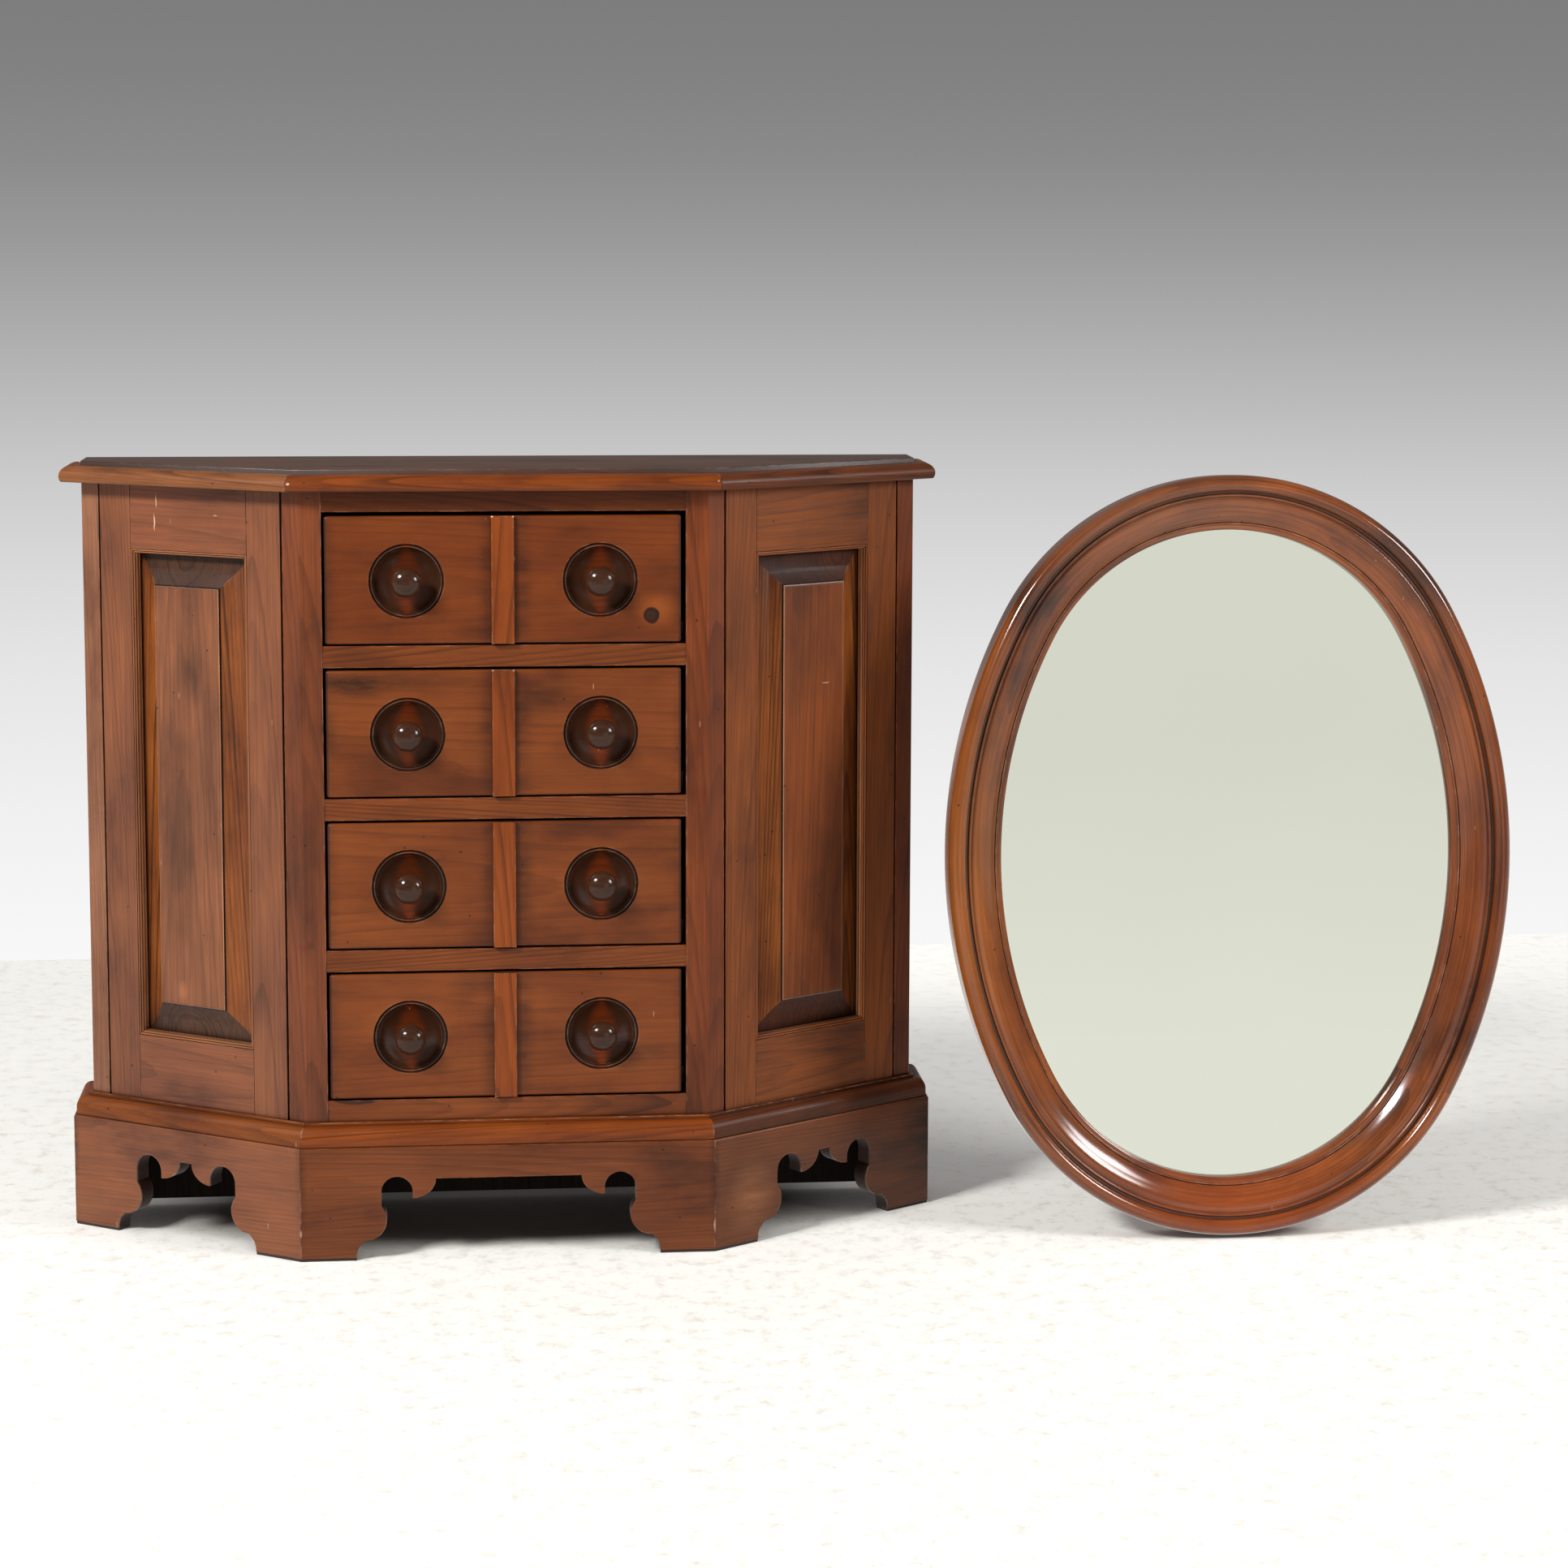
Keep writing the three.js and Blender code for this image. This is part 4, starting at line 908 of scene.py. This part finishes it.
for side, word in sides:
    hinge = Vector((home.x + side * front_half, home.y, 0))
    to_chest = Matrix.Translation(hinge) @ Matrix.Rotation(side * cant_angle, 4, "Z")
    front_sight = stile_start + front_stile_wide[side]
    sight_wide = rear_sight - front_sight
    middle = side * (front_sight + rear_sight) / 2
    reach = sight_wide / 2 + bead_wide - rail_gap
    stile, rail = (board_low, carcase_top), (middle - reach, middle + reach)
    # Name, plan across, height from and to, turn of the beads and their place on the sight line.
    for end, (x0, x1), (z0, z1), turn, at_x, at_z in (
        ("front", (stile_start, front_sight - bead_wide), stile, -pi / 2, front_sight, sight_level),
        ("rear", (rear_sight + bead_wide, stile_end), stile, pi / 2, rear_sight, sight_level),
        ("top", rail, (sight_high + bead_wide, carcase_top), 0, middle, sight_high),
        ("bottom", rail, (board_low, sight_low - bead_wide), pi, middle, sight_low),
    ):
        if end in ("front", "rear"):
            x0, x1, turn, at_x = side * x0, side * x1, side * turn, side * at_x
            kind, node, wood, lie = "stile", "", "stiles", "upright"
            length, short, easing = sight_tall, 0, 0.5
        else:
            kind, node, wood, lie = "rail", "frame_", "cant", "across"
            length, short, easing = sight_wide, 0.1, 0.3
        plan = [(x0, 0), (x1, 0), (x1, frame_thick), (x0, frame_thick)]
        skins = [prism(plan, z0, z1), beads(length, short, turn, Vector((at_x, 0, at_z)))]
        skins = [([tuple(to_chest @ Vector(p)) for p in points], faces) for points, faces in skins]
        keys = (f"{wood}_{word}", f"beads_{word}_{lie}", "filled_grooves", "rubbed_beads")
        name, node = f"cant_{kind}_{word}_{end}", f"{word}_{node}{end}_{kind}"
        board = make(name, skins, [pine[key] for key in keys], node, "cant_pine")
        # The faces of the beaded edge follow the six of the plain board.
        for face, (_, _, finish) in zip(list(board.data.polygons)[6:], bead_section()):
            face.material_index = finish
        ease(board, easing * mm, limit=60)
    rings = []
    for inset, deep in panel_levels:
        tall = sight_tall / 2 - inset * mm
        front_x = side * (front_sight + inset * mm)
        rear_x = side * (rear_sight - inset * mm * (rear_bevel[side] if inset > 0 else 1))
        corners = [(front_x, -tall), (rear_x, -tall), (rear_x, tall), (front_x, tall)]
        rings.append([to_chest @ Vector((x, deep * mm, sight_level + z)) for x, z in corners])
    keys = [f"{key}_{word}" for key in ("fielded_panel", "long_bevels", "end_grain_bevels")]
    finishes = [pine[key] for key in (*keys, "filled_grooves", "worn_arris")]
    panel = make(keys[0], [skin(rings)], finishes, f"{word}_panel", "dark_pine", sharp=24)
    # Each ring has four faces: in turn the bottom, a side, the top and a side. Ring 1 is the arris,
    # painted pale as wear and as a painted highlight, 2 and 3 are its groove, and from 4 to 18 runs the
    # bevel.
    for face in panel.data.polygons:
        ring, turn = divmod(face.index, 4)
        if ring == 1:
            face.material_index = 4
        elif ring in (2, 3):
            face.material_index = 3
        elif 4 <= ring <= 18:
            face.material_index = 1 if turn % 2 else 2
    print(word, "panel opening", sight_wide, "by", sight_tall)

# %% [markdown]
# ## Drawer fronts with turned dishes
# Each front is a solid board with rounded edges and two dishes turned into it, a ring and a bead
# round each bowl. The mesh is woven as spokes from the edge of each half board to the circle of its
# dish, so the face stays flat and the circles stay true, which a boolean cut with its long thin
# triangles would not give. The bowls get the glossier finish.


# %% Dished fronts
dish = [(38.7, 0), (38.3, 0.25), (37.6, 1.3), (37.2, 1.55), (36.9, 1.3), (36.5, 0.7), (35.9, 0.5)]
dish += [(35.2, 0.65), (34.7, 1.2), (34.3, 1.9), (34.0, 2.1), (33.6, 2.0)]
dish += quarter((33.6, 2.0), (9, 9), 16, False)
groove_rings = (3, 4, 9, 10, 11)
side_steps = 24


def edge_walk(x0, x1, z0, z1):
    """Points round a rectangle, the same number on each side."""
    corners = [(x0, z0), (x1, z0), (x1, z1), (x0, z1)]
    walk = []
    for (ax, az), (bx, bz) in zip(corners, corners[1:] + corners[:1]):
        shares = [i / side_steps for i in range(side_steps)]
        walk += [(ax + (bx - ax) * share, az + (bz - az) * share) for share in shares]
    return walk


def knob_centre(row, word):
    """Centre of a knob, across and up."""
    low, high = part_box(f"drawer_{row}_knob_{word}")
    return (low.x + high.x) / 2, (low.z + high.z) / 2


def turned_ring(x, face, z, radius, deep, angles):
    """A ring of turned work round a centre: its radius and its depth behind the face are in mm."""
    return [(x + radius * mm * cos(a), face + deep * mm, z + radius * mm * sin(a)) for a in angles]


def dished_front(row):
    """Weaves a drawer front, closes it behind and rounds its outer edges."""
    low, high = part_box(f"drawer_{row}_front")
    middle = (low.x + high.x) / 2
    work = bmesh.new()
    for word, x0, x1 in (("left", low.x, middle), ("right", middle, high.x)):
        x, z = knob_centre(row, word)
        walk = edge_walk(x0, x1, low.z, high.z)
        angles = [atan2(pz - z, px - x) for px, pz in walk]
        rings = [[(px, low.y, pz) for px, pz in walk]]
        rings += [turned_ring(x, low.y, z, radius, deep, angles) for radius, deep in dish]
        rings = [[work.verts.new(p) for p in ring] for ring in rings]
        for k, (outer, inner) in enumerate(zip(rings, rings[1:])):
            for i in range(len(walk)):
                j = (i + 1) % len(walk)
                face = work.faces.new((outer[i], outer[j], inner[j], inner[i]))
                face.material_index = 0 if k == 0 else 2 if k in groove_rings else 1
        work.faces.new(rings[-1]).material_index = 1
    bmesh.ops.remove_doubles(work, verts=work.verts, dist=touching)
    weight = work.edges.layers.float.new("bevel_weight_edge")
    rim = [e for e in work.edges if e.is_boundary]
    for edge in rim:
        edge[weight] = 1
    grown = bmesh.ops.extrude_edge_only(work, edges=rim)["geom"]
    for vert in (e for e in grown if isinstance(e, bmesh.types.BMVert)):
        vert.co.y = high.y
    corners = [(x, z) for x in (low.x, high.x) for z in (low.z, high.z)]
    for edge in work.edges:
        a, b = (vert.co for vert in edge.verts)
        at_corner = any(abs(a.x - x) + abs(a.z - z) < touching for x, z in corners)
        if at_corner and abs(a.y - b.y) > 10 * mm:
            edge[weight] = 1
    bmesh.ops.edgeloop_fill(work, edges=[e for e in work.edges if e.is_boundary])
    name, body = f"dished_front_{row}", f"drawer_{row}"
    finishes = [pine[f"drawer_front_{row}"], pine["turned_dishes"], pine["filled_grooves"]]
    front = place(name, done(work, name), finishes, f"{body}_front", "stained_pine", body)
    ease(front, 2.6 * mm, 4).limit_method = "WEIGHT"
    return front


for row in rows:
    front = dished_front(row)
print("front faces", len(front.data.polygons))

# %% [markdown]
# ## Knobs
# A knob is turned between centres: a foot on the seat of the dish, a short neck and a flattened
# ball. A lathe is rings of one profile turned round an axis, so the same skin helper makes it, with
# the profile's points as stations and 48 steps round.


# %% Knobs
# Radius and distance from the drawer's face, in millimetres, from the seat to the tip.
knob_profile = [(8, 9), (8, 7.4), (7.6, 7), (7, 5), (6.8, 0), (7, -3.5)]
knob_profile += quarter((7, -3.5), (15.75, -13), 12, True)
knob_profile += quarter((15.75, -13), (0.2, -25), 16, False)
steps_round = 48
angles = [tau * i / steps_round for i in range(steps_round)]
for row in rows:
    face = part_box(f"drawer_{row}_front")[0].y
    for word in ("left", "right"):
        x, z = knob_centre(row, word)
        rings = [turned_ring(x, face, z, radius, deep, angles) for radius, deep in knob_profile]
        node, body = f"drawer_{row}_knob_{word}", f"drawer_{row}"
        make(f"turned_knob_{row}_{word}", [skin(rings)], [knob_finish], node, "knob", body, sharp=50)
print("knob from", knob_profile[0], "to", knob_profile[-1])

# %% [markdown]
# ## The mirror frame
# The frame is an oval of four arcs, glued up from curved segments and moulded on a spindle: a round
# torus outside, a quirk and a bead, a broad swell that falls to the glass, and a beaded lip. The
# segments are matched so well that the grain seems to run round the oval, so the pattern is drawn on
# a value stored at each corner of the mesh: how far round the oval it lies, how far in, how deep.

# %% Oval of four arcs
oval_wide, oval_tall, end_radius = 303, 405.3, 270
end_centre = oval_tall - end_radius
side_radius = (oval_wide**2 + end_centre**2 - end_radius**2) / (2 * (oval_wide - end_radius))
side_centre = side_radius - oval_wide
turn = atan2(end_centre, side_centre)
arcs = [
    (-side_centre, 0, side_radius, -turn, turn, 44),
    (0, end_centre, end_radius, turn, pi - turn, 72),
    (side_centre, 0, side_radius, pi - turn, pi + turn, 44),
    (0, -end_centre, end_radius, pi + turn, tau - turn, 72),
]
oval = [
    (x, z, radius, start + (end - start) * i / steps)
    for x, z, radius, start, end, steps in arcs
    for i in range(steps)
]
print("oval stations", len(oval), "side arcs of", side_radius, "mm")

# %% Section of the frame
section = [(0.6, 45), (0, 44.4), (0, 14), *quarter((0, 14), (9, 0), 10, False)]
section += quarter((9, 0), (17, 8), 10, True)
section += [(17, 10.6), (17.3, 11), (19.4, 11), (19.8, 10.6)]
section += [(21.3 - 1.5 * cos(a), 10.2 - 1.3 * sin(a)) for a in (0.3, 0.8, 1.3, 1.84, 2.34, 2.84)]
section += [(23.2, 10.6), (23.7, 10.7)]
swell = [(21, 10), (37, 10.5), (50, 23.5)]
for i in range(2, 19):
    t = i / 18
    weights = ((1 - t) ** 2, 2 * t * (1 - t), t * t)
    inset, deep = (sum(w * point[k] for w, point in zip(weights, swell)) for k in (0, 1))
    section.append((inset, deep - 0.9 * sin(pi * min(1, max(0, (inset - 24) / 12)))))
section += [(50, 24.6), (50.4, 24.9)]
section += [(51.5 - 1.0 * cos(a), 24.9 - 0.9 * sin(a)) for a in (0.4, 1.2, 2.0, 2.8)]
section += [(52.8, 25.6), *quarter((52.8, 25.6), (58.2, 28.9), 6, True)]
section += [(58.2, 36), (50.2, 36), (50.2, 45)]
print("section points", len(section))

# %% Frame mesh with grain that runs round
mirror_tilt = radians(4)
stand = Vector((home.x + 768 * mm, home.y - 27 * mm, 45 * mm * sin(mirror_tilt)))
to_floor = Matrix.Translation(stand) @ Matrix.Rotation(-mirror_tilt, 4, "X")


def frame_point(x, z, reach, a, deep):
    """A point of the frame standing upright: an arc's centre, the reach from it, an angle, a depth."""
    return (x + reach * cos(a)) * mm, deep * mm, (z + reach * sin(a) + oval_tall) * mm


flat_rings = [
    [frame_point(x, z, radius - inset, a, deep) for inset, deep in section] for x, z, radius, a in oval
]
# Painted light and shade on the frame: its left side lighter, its right side darker, its top greyer as
# painted sheen; the bottom is redder, and two small pale marks follow.
frame_painted_light_and_marks = [
    mark(0.745, -0.12, 0.38, 130, 360, 0.4, "#4a1c10", 0.99, 400),
    mark(0.185, -0.12, 0.40, 70, 300, 0.5, "#a15c22", 0.99, 400),
    mark(0.465, -0.12, 0.03, 240, 90, 0.35, "#a3481c", 0.99, 400),
    mark(0.40, -0.05, 0.76, 200, 70, 0.3, "#6e5240", 0.99, 400),
    mark(0.1615, -0.147, 0.4185, 3, 4, 0.85, "#dcc4a8", 0.4, 10),
    mark(0.563, -0.10, 0.788, 4, 2.5, 0.6, "#c9a488", 0.5, 30),
]
stain(
    "mirror_frame", along_x, "#965024 #65351b #26120a", 9.0, 0.26, 0.6, 0.7, ends=0, glaze=0.8,
    rough=(0.1, 0.2), waver_mm=4, drawn_on="board_place", gloss=0.5, by_hand=frame_painted_light_and_marks,
)
leaning = [[tuple(to_floor @ Vector(p)) for p in ring] for ring in flat_rings]
points, faces = skin(leaning, loop=True)
mesh = bpy.data.meshes.new("oval_frame")
mesh.from_pydata(points, [], faces)
travelled = [0]
for here, there in zip(flat_rings, flat_rings[1:] + flat_rings[:1]):
    travelled.append(travelled[-1] + (Vector(there[0]) - Vector(here[0])).length)
board_place = mesh.attributes.new("board_place", "FLOAT_VECTOR", "CORNER")
for face in mesh.polygons:
    closing = max(face.vertices) - min(face.vertices) > 2 * len(section)
    for corner in face.loop_indices:
        station, k = divmod(mesh.loops[corner].vertex_index, len(section))
        if closing and station == 0:
            station = len(flat_rings)
        inset, deep = section[k]
        board_place.data[corner].vector = (travelled[station], deep * mm, inset * mm)
finish = pine["mirror_frame"]
oval_frame = place("oval_frame", mesh, [finish], "mirror_frame", "mirror_wood", "mirror", sharp=34)
oval_frame["heart"] = [1.1, 0.034, 0.03]

# %% [markdown]
# ## Floor, backdrop and light
# The set was photographed in a white studio with a large soft light on each side. The floor ends
# 1.4 m behind the chest, where the backdrop begins. The backdrop is the world itself, shaded by the
# height of the line of sight from white at the floor to grey above, for the camera and for
# reflections. Bounced light sees a plain grey instead, so the backdrop's brightness does not light
# the object.

# %% Floor
floor_finish, shader, node, spot = new_finish("painted_white_floor")
scuffs = node("TexNoise", spot, Scale=44, Detail=12, Roughness=0.8)
worn = node("MapRange", scuffs, 0.5, 0.66, 0, 0.7)
paint = node("Mix", worn, "#f2f0ea", "#c2b9aa", **rgba)
# Painted shadow: under the chest the floor is painted dark where ambient occlusion finds the chest
# close above, and in an ellipse round its middle.
under = node("AmbientOcclusion", Distance=0.22, samples=6).outputs["AO"]
open_floor = node("MapRange", under, 0.1, 0.38, 0.22)
from_chest = node("VectorMath.SUBTRACT", spot, (-0.303, 0.09, 0))
away = node("VectorMath.LENGTH", node("VectorMath.DIVIDE", from_chest, (0.41, 0.175, 1)))
painted_shadow_patch = node("MapRange", away, 0.75, 1.0, 0.12)
unshadowed_floor = node("Math.MULTIPLY", open_floor, painted_shadow_patch)
paint = node("Mix", unshadowed_floor, "#4a423a", paint, **rgba)
fill(shader, Base_Color=paint, Roughness=0.6, Specular_IOR_Level=0.1)
# To the camera the far floor glows a little, so that it meets the backdrop without an edge. In
# reflections the floor is a glowing white sheet near the object, a painted reflection, that dims
# to grey from 2.6 to 3.4 m in front.
rays = node("LightPath")
across, deep, _ = node("SeparateXYZ", spot).outputs
floor_end = 1.4
floor_glow = node("MapRange", deep, -0.3, floor_end, 0.03, 0.42)
# It glows less at the left, which faces the key lamp, and more at the right.
edge = node("MapRange", deep, 0.78, 1.15)
sideways = node("MapRange", across, -0.9, -0.2, -0.08, 0.06)
floor_glow = node("Math.MULTIPLY_ADD", edge, sideways, floor_glow)
# Painted light: to the right of the chest the floor glows a little more, which lightens the chest's shadow
# there.
glow_in_chest_shadow = node("MapRange", across, -0.1, 0.25, 0, 0.045)
floor_glow = node("Math", floor_glow, glow_in_chest_shadow)
floor_glow = node("Math.MULTIPLY", floor_glow, unshadowed_floor)
floor_glow = node("Math.MULTIPLY", floor_glow, rays.outputs["Is Camera Ray"])
seen = node("AddShader", shader, node("Emission", "#f0f0ee", floor_glow))
reflection_glow = node("MapRange", deep, -3.4, -2.6, 0.12)
plain = node("Emission", "#fcfcf8", reflection_glow)
both = node("MixShader", rays.outputs["Is Glossy Ray"], seen, plain)
fill(floor_finish.node_tree.nodes["Material Output"], Surface=both)


def sheet(name, corners, finish):
    """A flat sheet of the set."""
    mesh = bpy.data.meshes.new(name)
    mesh.from_pydata(corners, [], [(0, 1, 2, 3)])
    mesh.materials.append(finish)
    item = show(name, mesh)
    return item


wide = 9
corners = [(-wide, -wide, 0), (wide, -wide, 0), (wide, floor_end, 0), (-wide, floor_end, 0)]
sheet("studio_floor", corners, floor_finish)
print("floor nodes", len(floor_finish.node_tree.nodes))

# %% Backdrop and bounced light
world = bpy.data.worlds.new("studio")
bpy.context.scene.world = world
world.use_nodes = True
world.node_tree.nodes.clear()
node = partial(add, world.node_tree)
level = node("SeparateXYZ", node("TexCoord").outputs["Generated"]).outputs["Z"]
lowest, highest = sin(radians(-12.5)), sin(radians(4.2))
ramp = node("ValToRGB", node("MapRange", level, lowest, highest))
# Grey at each row of the photograph, whose level line and distance in pixels give the elevation.
tilt, level_row, lens_pixels = radians(-6.58), 766, 4179
greys = {1165: 248, 1000: 241, 800: 228, 700: 218, 600: 205, 500: 188}
greys |= {400: 171, 300: 154, 200: 139, 100: 130, 5: 125}
stops = []
for pixel, grey in greys.items():
    elevation = tilt + atan((level_row - pixel) / lens_pixels)
    position = (sin(elevation) - lowest) / (highest - lowest)
    stops.append((position, tone(f"#{grey:02x}{grey:02x}{grey:02x}")))
ends = ramp.color_ramp.elements
ends[0].position, ends[0].color = stops[0]
ends[1].position, ends[1].color = stops[-1]
for position, grey in stops[1:-1]:
    ends.new(position).color = grey
rays = node("LightPath").outputs
seen = node("Math", rays["Is Camera Ray"], rays["Is Glossy Ray"], use_clamp=True)
seen = node("Math", seen, rays["Is Transmission Ray"], use_clamp=True)
backdrop = node("Background", ramp, 1)
bounce = node("Background", "#767676", 1)
node("OutputWorld", node("MixShader", seen, bounce, backdrop))
print("backdrop stops", len(stops))


# %% Lamps
def softbox(name, place, aim, size, power):
    """A large soft lamp at a place, facing a point."""
    lamp = bpy.data.lights.new(name, "AREA")
    lamp.shape = "RECTANGLE"
    lamp.size, lamp.size_y = size
    lamp.energy = power
    holder = show(name, lamp)
    holder.location = place
    holder.rotation_euler = (Vector(aim) - Vector(place)).to_track_quat("-Z", "Y").to_euler()


softbox("key_left", (-2.4, -1.8, 2.6), (-0.1, 0, 0.4), (0.9, 0.6), 150)
softbox("fill_right", (2.6, -1.5, 1.8), (0, 0, 0.4), (0.9, 0.9), 68)
# Painted reflection: a glowing card before the mirror that only reflections see, so the glass shows a pale,
# even sheet that dims a little with height.
card_finish, _, node, _ = new_finish("lit_white_card")
card_finish.node_tree.nodes.clear()
level = node("SeparateXYZ", node("TexCoord").outputs["Object"]).outputs["Z"]
fade = node("MapRange", level, 0, 0.5, 0.99, 0.895)
node("OutputMaterial", node("Emission", "#fcfcf8", fade))
left, right, before, tall = 0.3, 1.6, -2.2, 1.1
corners = [(left, before, 0), (right, before, 0), (right, before, tall), (left, before, tall)]
card = sheet("white_card", corners, card_finish)
card.visible_camera = card.visible_diffuse = card.visible_shadow = False

# %% [markdown]
# ## Camera
# The photograph was resected from the chest's own corners. The lens looks 6.6 degrees down and the
# picture is shifted, as a view camera or a crop does, so uprights stay nearly upright.

# %% Camera
camera_data = bpy.data.cameras.new("camera")
camera_data.sensor_width = 36
camera_data.lens = 77.865
camera_data.shift_y = -0.10343
camera = show("camera", camera_data)
camera.location = (-0.3526, -3.56664, 1.06633)
camera.rotation_euler = [radians(a) for a in (83.4154, -0.1670, -5.5322)]
bpy.context.scene.camera = camera
bpy.context.scene.view_settings.view_transform = "Standard"
print("camera at", camera.location[:])
